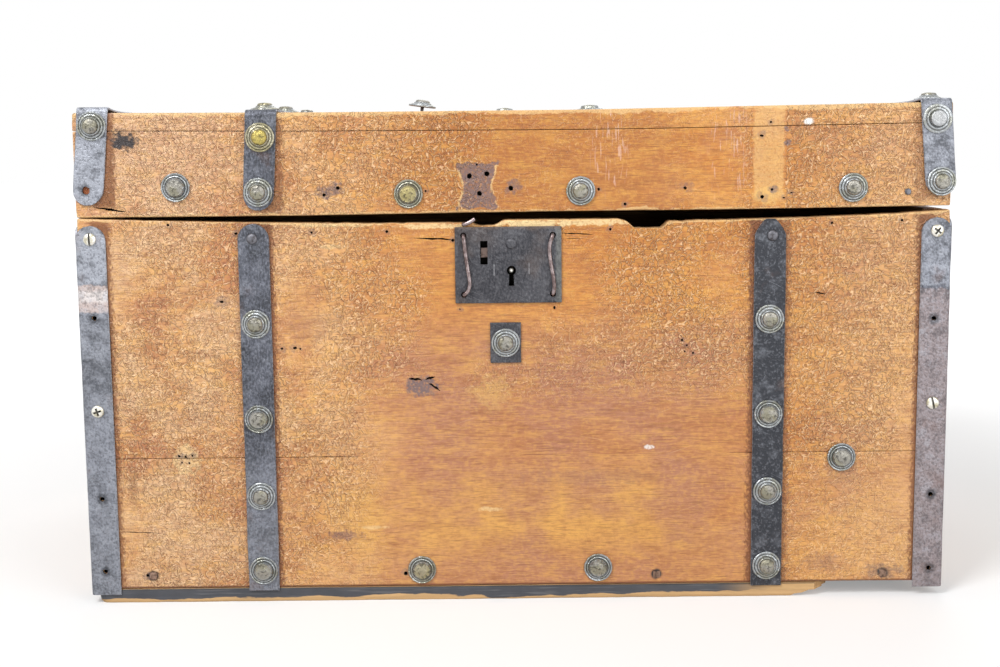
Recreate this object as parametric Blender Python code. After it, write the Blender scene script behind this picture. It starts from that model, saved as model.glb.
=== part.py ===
"""A flat top trunk of pine boards bound with iron straps, modelled piece by piece in metres.

The trunk stands on the ground with its front towards -Y, its right end towards +X and +Z up. The
origin is on the ground under the middle of the trunk.
"""

import math
from collections import namedtuple

import bmesh
import bpy
from mathutils import Matrix, Vector

# Fits
CLEAR = 0.0003  # gap between pieces that touch, and round what fits in a hole
UNION_SINK = 0.0005  # depth to which a head is let into the strap that it is one with
SMOOTH_ANGLE = math.radians(35)  # rounded pieces keep the edges that are sharper than this

# Body of the trunk
WIDTH = 0.647
DEPTH = 0.385
WALL_T = 0.016
LOWER_BOARD_H = 0.101
UPPER_BOARD_H = 0.182
BOTTOM_T = 0.011
BOTTOM_INSET = 0.0035  # the bottom boards stop this far short of the ends
BOTTOM_FRONT_W = 0.215
BREAK_LENGTH = 0.092  # the corner broken off the front bottom board
BREAK_DEPTH = 0.045
BREAK_SPLINTER = 0.012

# Worn upper edge of the front board
DISH_DEPTH = 0.006
DISH_CENTRE_X = 0.060
DISH_POWER = 3
DISH_STEPS = 16
NOTCH_X = 0.100
NOTCH_W = 0.021
NOTCH_SLOPE = 0.005
NOTCH_DEPTH = 0.0055

# Lid
RIM_H = 0.0635
RIM_T = 0.014
TOP_T = 0.0118
TOP_FRONT_W = 0.205

# Studs with a brim, a boss and a square shank
STUD_SIDES = 12
STUD_R = 0.0108
STUD_H = 0.0058
BRIM_EDGE = 0.0008
BRIM_H = 0.0026
BOSS_BASE_R = 0.0075
BOSS_R = 0.0061
BOSS_CROWN_R = 0.0043
BOSS_CROWN_H = 0.0006
SHANK_W = 0.0030
SHANK_TIP_W = 0.0018
SHANK_L = 0.009

# Straps on the body
STRAP_T = 0.0015
ROUND_STEPS = 4  # steps in a quarter of a rounded strap end
CORNER_LEG = 0.0227
CORNER_BOTTOM_Z = 0.0067
CORNER_TOP_DROP = 0.0056  # below the rim
SCREW_R = 0.0043
SCREW_H = 0.0021
LOWER_SCREW_Z = 0.1495
UPPER_SCREW_DROP = 0.0156  # below the rim
INNER_STRAP_W = 0.0232
LEFT_STRAP_INSET = 0.1305  # from the end of the trunk to the strap's centre line
RIGHT_STRAP_INSET = 0.1330
INNER_STRAP_BOTTOM_Z = 0.009
INNER_STRAP_TOP_DROP = 0.0046
STRAP_STUD_Z = (0.0250, 0.0830, 0.1425, 0.2145)

# Studs in the front boards, as X from the middle and Z unless the name says otherwise
CENTRE_STUD_X = -0.0066
CENTRE_STUD_DROP = 0.0960  # below the rim
RIGHT_STUD_INSET = 0.0770  # from the right end
RIGHT_STUD_Z = 0.1085
BOTTOM_LEFT_STUD = (-0.0722, 0.0240)
BOTTOM_RIGHT_STUD = (0.0624, 0.0244)
WASHER_W = 0.023
WASHER_H = 0.0305
WASHER_T = 0.0012

# Straps over the lid
LID_STRAP_W = 0.0228
LID_STRAP_BACK_LEG = 0.024
# An inset is from the trunk's end to a strap's centre line, a lean is how far its front leg strays
# outwards, a foot and a low stud are heights above the lid's lower edge, a high stud is a depth
# below the lid's top, and top studs are distances behind the front
OUTER_LEFT_INSET = 0.0155
OUTER_LEFT_LEAN = 0.0065
OUTER_LEFT_FOOT = 0.0091
OUTER_LEFT_HIGH_STUD = 0.0085
INNER_LEFT_INSET = 0.1389
INNER_LEFT_LEAN = 0.0041
INNER_LEFT_FOOT = 0.0041
INNER_LEFT_LOW_STUD = 0.0175
INNER_LEFT_HIGH_STUD = 0.0179
INNER_LEFT_TOP_STUDS = (0.020, 0.128, 0.260)
OUTER_RIGHT_INSET = 0.0127
OUTER_RIGHT_LEAN = 0.0055
OUTER_RIGHT_FOOT = 0.0101
OUTER_RIGHT_LOW_STUD = 0.0205
OUTER_RIGHT_HIGH_STUD = 0.0093
OUTER_RIGHT_TOP_STUDS = (0.019,)

# Studs in the lid's front, each as the end that it is set from, its inset from that end (or its X
# where the end is 0) and its height above the lid's lower edge
LID_STUDS = {
    "lid_stud_far_left": (-1, 0.0743, 0.0217),
    "lid_stud_left": (0, -0.0774, 0.0153),
    "lid_stud_right": (0, 0.0499, 0.0162),
    "lid_stud_far_right": (1, 0.0723, 0.0166),
}
# Studs in the lid's top, as X and distance behind the front
LID_TOP_STUDS = {
    "lid_top_stud_left": (-0.072, 0.086),
    "lid_top_stud_centre": (-0.005, 0.163),
    "lid_top_stud_right": (0.062, 0.086),
}
LOOSE_STUD = "lid_top_stud_left"
LOOSE_LIFT = 0.0045
LOOSE_TILT = math.radians(6)

# Lock: a plate over a case, which holds from its top down a rivet, the bolt and the key pin
LOCK_X = -0.0041
LOCK_DROP = 0.0377  # from the rim down to the middle of the plate
PLATE_W = 0.0792
PLATE_H = 0.0569
PLATE_T = 0.0015
SLOT_FROM_LEFT = 0.0216  # from the plate's left edge to the middle of the slot
SLOT_W = 0.0054
SLOT_H = 0.0175
KEYHOLE_X = 0.00225  # from the middle of the plate
KEYHOLE_UNDER_BOLT = 0.0099
KEYHOLE_R = 0.0032
KEYHOLE_TAIL_W = 0.0040
KEYHOLE_TAIL_L = 0.0115
KEY_PIN_R = 0.0017
RIVET_UNDER_TOP = 0.0030  # from the inside of the case's top
RIVET_R = 0.0020
RIVET_HEAD_R = 0.0040
RIVET_HEAD_H = 0.0020
RIVET_GAP = 0.0011  # between the rivet and the bolt that slides under it
WIRE_HOLE_R = 0.0023
WIRE_HOLE_INSET = 0.0065
CASE_SIDE_MARGIN = 0.0126  # from the plate's edge to the case
CASE_TOP_MARGIN = 0.00645
CASE_D = 0.0105
CASE_WALL = 0.0012
BOLT_H = 0.0070
BOLT_T = 0.0030
BOLT_REACH = 0.0049  # how far the bolt reaches across the slot when it is thrown
BOLT_TRAVEL = 0.0080
BOLT_SPARE = 0.0008  # gap left behind the bolt when it is drawn back
TALON_W = 0.0070
TALON_H = 0.0025
SPRING_FROM_RIVET = 0.00125
SPRING_FROM_WALL = 0.0043
SPRING_T = 0.0008
SPRING_W = 0.005
SPRING_STEPS = 8

# Bent wires through the holes of the lock plate
WIRE_R = 0.0015
WIRE_SIDES = 8
WIRE_LEG = 0.008
WIRE_BOW = 0.0030  # how far a wire bows to one side between its holes
WIRE_GROOVE = 0.0022  # depth at which the loose end runs behind the plate
WIRE_END_X = 0.0085
WIRE_END_Z = 0.0040

# Strap hinges at the back
LEAF_T = 0.002
LEAF_W = 0.024
BODY_LEAF_L = 0.150
LID_LEAF_GAP = 0.00725  # the lid's leaf stops this far below the ends of the lid straps
KNUCKLE_R = 0.0042
KNUCKLE_NECK = 0.003
HINGE_PIN_R = 0.0020
HINGE_PIN_HEAD_R = 0.0032
HINGE_PIN_HEAD_L = 0.0015

# Drop handles on the ends
HANDLE_Z = 0.190
PIVOT_OUT = 0.013
ROD_R = 0.004
ROD_SIDES = 10
BAIL_PLAY = 0.0045  # between the bail and the lug beside it
BAIL_DROP = 0.050
BAIL_CORNER_R = 0.014
BAIL_NECK_R = 0.006
BAIL_ARC_STEPS = 4
EYE_Y = 0.058
EYE_W = 0.024
EYE_H = 0.040
EYE_T = 0.0025
LUG_T = 0.005
LUG_WALL = 0.0037  # metal left round the bore
TRUNNION_END = 0.0055  # how far the rod stands out beyond its lug

# Sides of bores and pins
BORE_SIDES = 12

# Levels and planes that follow from the sizes above
HALF_W = WIDTH / 2
FRONT_Y = -DEPTH / 2
BACK_Y = DEPTH / 2
WALL_BOTTOM_Z = BOTTOM_T + CLEAR
SEAM_Z = WALL_BOTTOM_Z + LOWER_BOARD_H
RIM_Z = SEAM_Z + CLEAR + UPPER_BOARD_H
LID_BOTTOM_Z = RIM_Z + CLEAR
LID_SEAM_Z = LID_BOTTOM_Z + RIM_H
LID_TOP_Z = LID_SEAM_Z + CLEAR + TOP_T
HINGE_Y = BACK_Y + CLEAR + KNUCKLE_R
HINGE_Z = RIM_Z + CLEAR / 2
LOCK_Z = RIM_Z - LOCK_DROP
CASE_W = PLATE_W - 2 * CASE_SIDE_MARGIN
CASE_H = PLATE_H - 2 * CASE_TOP_MARGIN
CASE_RIGHT_X = LOCK_X + CASE_W / 2 - CASE_WALL
CASE_TOP_Z = LOCK_Z + CASE_H / 2 - CASE_WALL
SLOT_X = LOCK_X - PLATE_W / 2 + SLOT_FROM_LEFT
KEY_X = LOCK_X + KEYHOLE_X
RIVET_Z = CASE_TOP_Z - RIVET_UNDER_TOP - RIVET_R
BOLT_Z = RIVET_Z - RIVET_R - RIVET_GAP - BOLT_H / 2
KEY_Z = BOLT_Z - BOLT_H / 2 - KEYHOLE_UNDER_BOLT
LEFT_STRAP_X = -(HALF_W - LEFT_STRAP_INSET)
RIGHT_STRAP_X = HALF_W - RIGHT_STRAP_INSET
CENTRE_STUD_Z = RIM_Z - CENTRE_STUD_DROP
BAIL_HALF = EYE_Y - LUG_T / 2 - BAIL_PLAY - ROD_R
LUG_R = ROD_R + CLEAR + LUG_WALL

# The lid's three straps, with the end that each is set from and the places of its studs
LidStrap = namedtuple("LidStrap", "name side inset lean foot low_studs high_studs top_studs")
LID_STRAPS = (
    LidStrap(
        "lid_strap_outer_left",
        -1,
        OUTER_LEFT_INSET,
        OUTER_LEFT_LEAN,
        OUTER_LEFT_FOOT,
        (),
        (OUTER_LEFT_HIGH_STUD,),
        (),
    ),
    LidStrap(
        "lid_strap_inner_left",
        -1,
        INNER_LEFT_INSET,
        INNER_LEFT_LEAN,
        INNER_LEFT_FOOT,
        (INNER_LEFT_LOW_STUD,),
        (INNER_LEFT_HIGH_STUD,),
        INNER_LEFT_TOP_STUDS,
    ),
    LidStrap(
        "lid_strap_outer_right",
        1,
        OUTER_RIGHT_INSET,
        OUTER_RIGHT_LEAN,
        OUTER_RIGHT_FOOT,
        (OUTER_RIGHT_LOW_STUD,),
        (OUTER_RIGHT_HIGH_STUD,),
        OUTER_RIGHT_TOP_STUDS,
    ),
)


def clear_scene():
    """Removes whatever the scene holds."""
    for obj in list(bpy.data.objects):
        bpy.data.objects.remove(obj, do_unlink=True)


def paint(name, colour, roughness, metallic):
    """A plain material."""
    material = bpy.data.materials.new(name)
    material.use_nodes = True
    shader = material.node_tree.nodes["Principled BSDF"]
    shader.inputs["Base Color"].default_value = (*colour, 1)
    shader.inputs["Roughness"].default_value = roughness
    shader.inputs["Metallic"].default_value = metallic
    return material


def empty(name, place):
    """An empty that holds a joint's axis."""
    obj = bpy.data.objects.new(name, None)
    obj.location = place
    bpy.context.collection.objects.link(obj)
    return obj


def add_object(name, shape, material=None, parent=None, origin=None, smooth=False):
    """Makes an object of a shape drawn in world coordinates, with its origin in its own middle."""
    bmesh.ops.recalc_face_normals(shape, faces=shape.faces)
    if origin is None:
        corners = [vertex.co for vertex in shape.verts]
        low = Vector([min(corner[i] for corner in corners) for i in range(3)])
        high = Vector([max(corner[i] for corner in corners) for i in range(3)])
        origin = (low + high) / 2
    origin = Vector(origin)
    bmesh.ops.translate(shape, verts=shape.verts, vec=-origin)
    mesh = bpy.data.meshes.new(name)
    shape.to_mesh(mesh)
    shape.free()
    if smooth:
        mesh.shade_smooth()
        mesh.set_sharp_from_angle(angle=SMOOTH_ANGLE)
    obj = bpy.data.objects.new(name, mesh)
    if material:
        mesh.materials.append(material)
    obj.location = origin
    if parent:
        obj.parent = parent
        obj.location = origin - parent.location
    bpy.context.collection.objects.link(obj)
    return obj


def add_tool(name, shape):
    """A hidden shape that a Boolean cuts with or adds."""
    obj = add_object(name, shape)
    obj.hide_render = True
    obj.display_type = "WIRE"
    return obj


def boolean(obj, operation, tool):
    """Cuts the tool from the object, or joins it on."""
    modifier = obj.modifiers.new(f"{operation} {tool.name}", "BOOLEAN")
    modifier.operation = operation
    modifier.solver = "EXACT"
    modifier.object = tool


def loft(shape, rings):
    """Skins rings that have the same number of points and closes both ends."""
    rows = [[shape.verts.new(point) for point in ring] for ring in rings]
    count = len(rows[0])
    for row, after in zip(rows, rows[1:]):
        for i in range(count):
            j = (i + 1) % count
            shape.faces.new((row[i], row[j], after[j], after[i]))
    shape.faces.new(rows[0])
    shape.faces.new(rows[-1])


def prism(shape, outline, along):
    """Extrudes a flat outline along a vector."""
    points = [Vector(point) for point in outline]
    loft(shape, [points, [point + Vector(along) for point in points]])


def box(shape, low, high):
    """A box between two corners."""
    (x0, y0, z0), (x1, y1, z1) = low, high
    prism(shape, [(x0, y0, z0), (x1, y0, z0), (x1, y1, z0), (x0, y1, z0)], (0, 0, z1 - z0))


def shape_of(draw, *sizes):
    """A new shape drawn by one call."""
    shape = bmesh.new()
    draw(shape, *sizes)
    return shape


def circle(radius, sides, turn=0.0):
    """Points of a circle about the origin, as pairs."""
    angles = [turn + 2 * math.pi * i / sides for i in range(sides)]
    return [(radius * math.cos(angle), radius * math.sin(angle)) for angle in angles]


def round_hole(radius, sides=BORE_SIDES):
    """Points of a polygon whose flats clear a circle of this radius."""
    return circle(radius / math.cos(math.pi / sides), sides)


def square(half, sides, turn):
    """Points on the edge of a square, in the directions of a circle's points."""
    ring = []
    for x, y in circle(1.0, sides, turn):
        reach = half / max(abs(x), abs(y))
        ring.append((x * reach, y * reach))
    return ring


def facing_front(x, y, z):
    """The place of a piece whose axis points out of the front."""
    return Matrix.Translation((x, y, z)) @ Matrix.Rotation(math.radians(90), 4, "X")


def facing_up(x, y, z):
    """The place of a piece whose axis points up."""
    return Matrix.Translation((x, y, z))


def stud(shape, place, sink=0.0):
    """A stud whose brim seats on the plane z = 0 of its place, or is sunk into it."""
    turn = math.pi / STUD_SIDES
    boss_top = STUD_H - BOSS_CROWN_H
    levels = [
        (square(SHANK_TIP_W / 2, STUD_SIDES, turn), -SHANK_L),
        (square(SHANK_W / 2, STUD_SIDES, turn), -sink),
        (circle(STUD_R, STUD_SIDES, turn), -sink),
        (circle(STUD_R, STUD_SIDES, turn), BRIM_EDGE),
        (circle(BOSS_BASE_R, STUD_SIDES, turn), BRIM_H),
        (circle(BOSS_R, STUD_SIDES, turn), boss_top),
        (circle(BOSS_CROWN_R, STUD_SIDES, turn), STUD_H),
    ]
    loft(shape, [[place @ Vector((x, y, z)) for x, y in ring] for ring, z in levels])


def shank_pocket(shape, place):
    """The square pocket in the wood behind a stud."""
    half = SHANK_W / 2 + CLEAR
    ring = [(-half, -half), (half, -half), (half, half), (-half, half)]
    depth = SHANK_L + CLEAR
    outline = [place @ Vector((x, y, -depth)) for x, y in ring]
    prism(shape, outline, place.to_3x3() @ Vector((0, 0, depth + STUD_H)))


def dished_edge(x):
    """Height of the worn upper edge of the front board."""
    side = HALF_W - DISH_CENTRE_X if x > DISH_CENTRE_X else HALF_W + DISH_CENTRE_X
    share = abs(x - DISH_CENTRE_X) / side
    return RIM_Z - DISH_DEPTH * (1 - share**DISH_POWER)


def front_edge_outline():
    """Outline of the front upper board in X and Z, with its dished and notched upper edge."""
    foot = NOTCH_W / 2
    mouth = foot + NOTCH_SLOPE
    floor = dished_edge(NOTCH_X) - NOTCH_DEPTH
    steps = [HALF_W - WIDTH * i / DISH_STEPS for i in range(DISH_STEPS + 1)]
    edge = [(x, dished_edge(x)) for x in steps if abs(x - NOTCH_X) > mouth]
    edge += [(NOTCH_X + side * mouth, dished_edge(NOTCH_X + side * mouth)) for side in (1, -1)]
    edge += [(NOTCH_X + side * foot, floor) for side in (1, -1)]
    edge.sort(reverse=True)
    bottom = SEAM_Z + CLEAR
    return [(-HALF_W, bottom), (HALF_W, bottom)] + edge


def strap_stud_places():
    """Every stud on the two inner straps of the front."""
    seat = FRONT_Y - CLEAR - STRAP_T
    return {
        x: [facing_front(x, seat, z) for z in STRAP_STUD_Z] for x in (LEFT_STRAP_X, RIGHT_STRAP_X)
    }


def front_stud_places():
    """Every stud that is driven straight into the front boards."""
    seat = FRONT_Y - CLEAR
    raised = seat - WASHER_T - CLEAR
    left_x, left_z = BOTTOM_LEFT_STUD
    right_x, right_z = BOTTOM_RIGHT_STUD
    return {
        "front_stud_centre": facing_front(CENTRE_STUD_X, raised, CENTRE_STUD_Z),
        "front_stud_right": facing_front(HALF_W - RIGHT_STUD_INSET, seat, RIGHT_STUD_Z),
        "front_stud_bottom_left": facing_front(left_x, seat, left_z),
        "front_stud_bottom_right": facing_front(right_x, seat, right_z),
    }


def lid_stud_places():
    """Every stud that is driven straight into the lid."""
    places = {}
    for name, (end, offset, height) in LID_STUDS.items():
        x = end * (HALF_W - offset) if end else offset
        places[name] = facing_front(x, FRONT_Y - CLEAR, LID_BOTTOM_Z + height)
    for name, (x, behind) in LID_TOP_STUDS.items():
        places[name] = facing_up(x, FRONT_Y + behind, LID_TOP_Z + CLEAR)
    lift = Matrix.Translation((0, 0, LOOSE_LIFT)) @ Matrix.Rotation(LOOSE_TILT, 4, "Y")
    places[LOOSE_STUD] = places[LOOSE_STUD] @ lift
    return places


def lid_strap_x(strap, z):
    """Centre line of a lid strap's front leg at a height."""
    middle = strap.side * (HALF_W - strap.inset)
    leg = LID_TOP_Z - LID_BOTTOM_Z - strap.foot
    return middle + strap.side * strap.lean * (LID_TOP_Z - z) / leg


def lid_strap_stud_places(strap):
    """The studs on one lid strap."""
    places = []
    levels = [LID_BOTTOM_Z + height for height in strap.low_studs]
    levels += [LID_TOP_Z - depth for depth in strap.high_studs]
    for z in levels:
        places.append(facing_front(lid_strap_x(strap, z), FRONT_Y - CLEAR - STRAP_T, z))
    for behind in strap.top_studs:
        x = lid_strap_x(strap, LID_TOP_Z)
        places.append(facing_up(x, FRONT_Y + behind, LID_TOP_Z + CLEAR + STRAP_T))
    return places


def wire_hole(side_x, side_z):
    """A corner hole of the lock plate in the trunk's X and Z."""
    x = LOCK_X + side_x * (PLATE_W / 2 - WIRE_HOLE_INSET)
    return x, LOCK_Z + side_z * (PLATE_H / 2 - WIRE_HOLE_INSET)


def front_cut(shape, outline, y0, y1):
    """A cut through an outline in X and Z, between two depths."""
    prism(shape, [(x, y0, z) for x, z in outline], (0, y1 - y0, 0))


def moved(outline, x, z):
    """An outline in X and Z, moved."""
    return [(x + u, z + v) for u, v in outline]


def rectangle(width, height):
    """A rectangle about the origin, as pairs."""
    half_w, half_h = width / 2, height / 2
    return [(-half_w, -half_h), (half_w, -half_h), (half_w, half_h), (-half_w, half_h)]


def front_pockets():
    """Everything that is let into the front boards: shanks, the lock case and the wires."""
    shape = bmesh.new()
    places = list(front_stud_places().values())
    for row in strap_stud_places().values():
        places += row
    for place in places:
        shank_pocket(shape, place)
    proud = FRONT_Y - PLATE_T
    case = rectangle(CASE_W + 2 * CLEAR, CASE_H + 2 * CLEAR)
    front_cut(shape, moved(case, LOCK_X, LOCK_Z), proud, FRONT_Y + CASE_D + CLEAR)
    for side_x, side_z in ((-1, -1), (1, -1), (1, 1)):
        bore = moved(round_hole(WIRE_R + CLEAR), *wire_hole(side_x, side_z))
        front_cut(shape, bore, proud, FRONT_Y + WIRE_LEG + CLEAR)
    x, z = wire_hole(-1, 1)
    half = WIRE_R + CLEAR
    depth = FRONT_Y + WIRE_GROOVE + WIRE_R + CLEAR
    box(shape, (x - half, proud, z - half), (x + half, depth, RIM_Z + CLEAR))
    return add_tool("front_pockets", shape)


def build_walls(pine):
    """The boards of the four walls, with the ends held between the front and the back."""
    pockets = front_pockets()
    lower = add_object(
        "front_lower_board",
        shape_of(box, (-HALF_W, FRONT_Y, WALL_BOTTOM_Z), (HALF_W, FRONT_Y + WALL_T, SEAM_Z)),
        pine,
    )
    upper_shape = bmesh.new()
    front_cut(upper_shape, front_edge_outline(), FRONT_Y, FRONT_Y + WALL_T)
    upper = add_object("front_upper_board", upper_shape, pine)
    boolean(lower, "DIFFERENCE", pockets)
    boolean(upper, "DIFFERENCE", pockets)
    inner_y = DEPTH / 2 - WALL_T - CLEAR
    rows = {"lower": (WALL_BOTTOM_Z, SEAM_Z), "upper": (SEAM_Z + CLEAR, RIM_Z)}
    for row, (z0, z1) in rows.items():
        back = shape_of(box, (-HALF_W, BACK_Y - WALL_T, z0), (HALF_W, BACK_Y, z1))
        add_object(f"back_{row}_board", back, pine)
        for side, x0 in (("left", -HALF_W), ("right", HALF_W - WALL_T)):
            end = shape_of(box, (x0, -inner_y, z0), (x0 + WALL_T, inner_y, z1))
            add_object(f"{side}_end_{row}_board", end, pine)


def build_bottom(pine):
    """Two boards under the walls, the front one with its right corner broken off."""
    end = HALF_W - BOTTOM_INSET
    seam_y = FRONT_Y + BOTTOM_FRONT_W
    start = end - BREAK_LENGTH
    outline = [
        (-end, FRONT_Y),
        (start, FRONT_Y),
        (start + BREAK_SPLINTER, FRONT_Y + BREAK_DEPTH / 3),
        (start + BREAK_SPLINTER / 2, FRONT_Y + BREAK_DEPTH * 2 / 3),
        (start + 2 * BREAK_SPLINTER, FRONT_Y + BREAK_DEPTH),
        (end, FRONT_Y + BREAK_DEPTH),
        (end, seam_y),
        (-end, seam_y),
    ]
    front = bmesh.new()
    prism(front, [(x, y, 0) for x, y in outline], (0, 0, BOTTOM_T))
    add_object("bottom_front_board", front, pine)
    rear = shape_of(box, (-end, seam_y + CLEAR, 0), (end, BACK_Y, BOTTOM_T))
    add_object("bottom_rear_board", rear, pine)


def round_end(width):
    """Steps round a strap's end, as distances from its tip and half widths there."""
    radius = width / 2
    steps = []
    for i in range(1, ROUND_STEPS + 1):
        angle = math.pi / 2 * i / ROUND_STEPS
        steps.append((radius * (1 - math.cos(angle)), radius * math.sin(angle)))
    return steps


def strap_ring(x, half, inner, outward):
    """Section of a strap across its width: the inner face, then the outer face."""
    near = Vector((x, 0, 0)) + Vector(inner)
    far = near + Vector(outward)
    across = Vector((half, 0, 0))
    return [near - across, near + across, far + across, far - across]


def build_inner_straps(iron):
    """Two flat straps down the front, with their studs."""
    places = strap_stud_places()
    face = FRONT_Y - CLEAR
    outward = (0, -STRAP_T, 0)
    top = RIM_Z - INNER_STRAP_TOP_DROP
    for word, x in (("left", LEFT_STRAP_X), ("right", RIGHT_STRAP_X)):
        name = f"front_strap_inner_{word}"
        rings = []
        for drop, half in round_end(INNER_STRAP_W):
            rings.append(strap_ring(x, half, (0, face, top - drop), outward))
        rings.append(strap_ring(x, INNER_STRAP_W / 2, (0, face, INNER_STRAP_BOTTOM_Z), outward))
        strap = add_object(name, shape_of(loft, rings), iron, smooth=True)
        studs = bmesh.new()
        for place in places[x]:
            stud(studs, place, UNION_SINK)
        boolean(strap, "UNION", add_tool(f"{name}_studs", studs))


def corner_iron(side, back):
    """An angle iron round one upright corner, with both its legs rounded at the top."""
    corner_x = side * (HALF_W + CLEAR)
    corner_y = (BACK_Y + CLEAR) if back else (FRONT_Y - CLEAR)
    out_y = 1 if back else -1
    leg = CORNER_LEG - STRAP_T
    centre_z = RIM_Z - CORNER_TOP_DROP - leg / 2
    arch = []
    for i in range(2 * ROUND_STEPS):
        angle = math.pi * i / (2 * ROUND_STEPS)
        arch.append((leg / 2 * (1 + math.cos(angle)), centre_z + leg / 2 * math.sin(angle)))
    rings = []
    for away, z in arch:
        inner = Vector((corner_x - side * away, corner_y, 0))
        rings.append((inner, Vector((0, out_y * STRAP_T, 0)), z))
    corner = Vector((corner_x, corner_y, 0))
    rings.append((corner, Vector((side * STRAP_T, out_y * STRAP_T, 0)), centre_z))
    for away, z in reversed(arch):
        inner = Vector((corner_x, corner_y - out_y * away, 0))
        rings.append((inner, Vector((side * STRAP_T, 0, 0)), z))
    shape = bmesh.new()
    foot = Vector((0, 0, CORNER_BOTTOM_Z))
    rows = []
    for inner, outward, z in rings:
        head = Vector((0, 0, z))
        rows.append([inner + foot, inner + outward + foot, inner + outward + head, inner + head])
    loft(shape, rows)
    return shape


def build_corner_irons(iron):
    """The four corner irons, the front ones with two screws each."""
    for side, word in ((-1, "left"), (1, "right")):
        add_object(f"back_strap_{word}", corner_iron(side, True), iron, smooth=True)
        strap = add_object(f"front_strap_outer_{word}", corner_iron(side, False), iron, smooth=True)
        heads = bmesh.new()
        x = side * (HALF_W + CLEAR + STRAP_T - CORNER_LEG / 2)
        seat = FRONT_Y - CLEAR - STRAP_T
        for z in (LOWER_SCREW_Z, RIM_Z - UPPER_SCREW_DROP):
            levels = (
                (SCREW_R, seat + UNION_SINK),
                (SCREW_R, seat - SCREW_H / 2),
                (SCREW_R / 2, seat - SCREW_H),
            )
            turned(heads, x, z, levels)
        boolean(strap, "UNION", add_tool(f"front_strap_outer_{word}_screws", heads))


def build_front_studs(pewter, iron):
    """The studs in the front boards and the square washer plate under the middle one."""
    for name, place in front_stud_places().items():
        add_object(name, shape_of(stud, place), pewter, smooth=True)
    back = FRONT_Y - CLEAR
    plate = bmesh.new()
    outline = moved(rectangle(WASHER_W, WASHER_H), CENTRE_STUD_X, CENTRE_STUD_Z)
    front_cut(plate, outline, back, back - WASHER_T)
    washer = add_object("stud_washer_plate", plate, iron)
    hole = bmesh.new()
    size = SHANK_W + 2 * CLEAR
    outline = moved(rectangle(size, size), CENTRE_STUD_X, CENTRE_STUD_Z)
    front_cut(hole, outline, back + WASHER_T, back - 2 * WASHER_T)
    boolean(washer, "DIFFERENCE", add_tool("stud_washer_hole", hole))


def keyhole_outline():
    """A round hole with a tail below it."""
    half = KEYHOLE_TAIL_W / 2
    start = -math.pi / 2 + math.asin(half / KEYHOLE_R)
    sweep = 2 * (math.pi / 2 - start)
    outline = []
    for i in range(BORE_SIDES + 1):
        angle = start + sweep * i / BORE_SIDES
        outline.append((KEYHOLE_R * math.cos(angle), KEYHOLE_R * math.sin(angle)))
    return outline + [(-half, -KEYHOLE_TAIL_L), (half, -KEYHOLE_TAIL_L)]


def turned(shape, x, z, levels):
    """A turned piece on an axis along Y at a point of the front, as pairs of radius and Y."""
    rings = [[(x + u, y, z + v) for u, v in circle(radius, BORE_SIDES)] for radius, y in levels]
    loft(shape, rings)


def build_lock_plate(iron):
    """The plate on the front, with its slot, keyhole, rivet hole and corner holes."""
    back = FRONT_Y - CLEAR
    face = back - PLATE_T
    shape = bmesh.new()
    front_cut(shape, moved(rectangle(PLATE_W, PLATE_H), LOCK_X, LOCK_Z), back, face)
    plate = add_object("lock_plate", shape, iron)
    holes = bmesh.new()
    outlines = [
        moved(rectangle(SLOT_W, SLOT_H), SLOT_X, BOLT_Z),
        moved(keyhole_outline(), KEY_X, KEY_Z),
        moved(round_hole(RIVET_R + CLEAR), KEY_X, RIVET_Z),
    ]
    corners = [wire_hole(side_x, side_z) for side_x in (-1, 1) for side_z in (-1, 1)]
    outlines += [moved(circle(WIRE_HOLE_R, BORE_SIDES), x, z) for x, z in corners]
    for outline in outlines:
        front_cut(holes, outline, back + PLATE_T, face - PLATE_T)
    boolean(plate, "DIFFERENCE", add_tool("lock_plate_holes", holes))


def build_lock_case(iron, steel):
    """The case let into the board behind the plate, with the rivet and the key pin that it carries."""
    back = FRONT_Y - CLEAR
    face = back - PLATE_T
    case_back = FRONT_Y + CASE_D
    case_shape = bmesh.new()
    front_cut(case_shape, moved(rectangle(CASE_W, CASE_H), LOCK_X, LOCK_Z), FRONT_Y, case_back)
    case = add_object("lock_case", case_shape, iron)
    hollow = bmesh.new()
    inside = rectangle(CASE_W - 2 * CASE_WALL, CASE_H - 2 * CASE_WALL)
    front_cut(hollow, moved(inside, LOCK_X, LOCK_Z), FRONT_Y - PLATE_T, case_back - CASE_WALL)
    boolean(case, "DIFFERENCE", add_tool("lock_case_hollow", hollow))
    posts = bmesh.new()
    for radius, z in ((KEY_PIN_R, KEY_Z), (RIVET_R, RIVET_Z)):
        bore = moved(round_hole(radius + CLEAR), KEY_X, z)
        front_cut(posts, bore, case_back - 2 * CASE_WALL, case_back + CASE_WALL)
    boolean(case, "DIFFERENCE", add_tool("lock_case_bores", posts))

    rivet = bmesh.new()
    head = face - CLEAR
    levels = (
        (RIVET_R, case_back),
        (RIVET_R, head),
        (RIVET_HEAD_R, head),
        (RIVET_HEAD_R, head - RIVET_HEAD_H / 2),
        (RIVET_HEAD_R / 2, head - RIVET_HEAD_H),
    )
    turned(rivet, KEY_X, RIVET_Z, levels)
    add_object("lock_rivet", rivet, iron, smooth=True)
    pin = bmesh.new()
    levels = ((KEY_PIN_R, case_back), (KEY_PIN_R, back), (KEY_PIN_R / 2, face + CLEAR))
    turned(pin, KEY_X, KEY_Z, levels)
    add_object("lock_key_pin", pin, steel, smooth=True)


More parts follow.
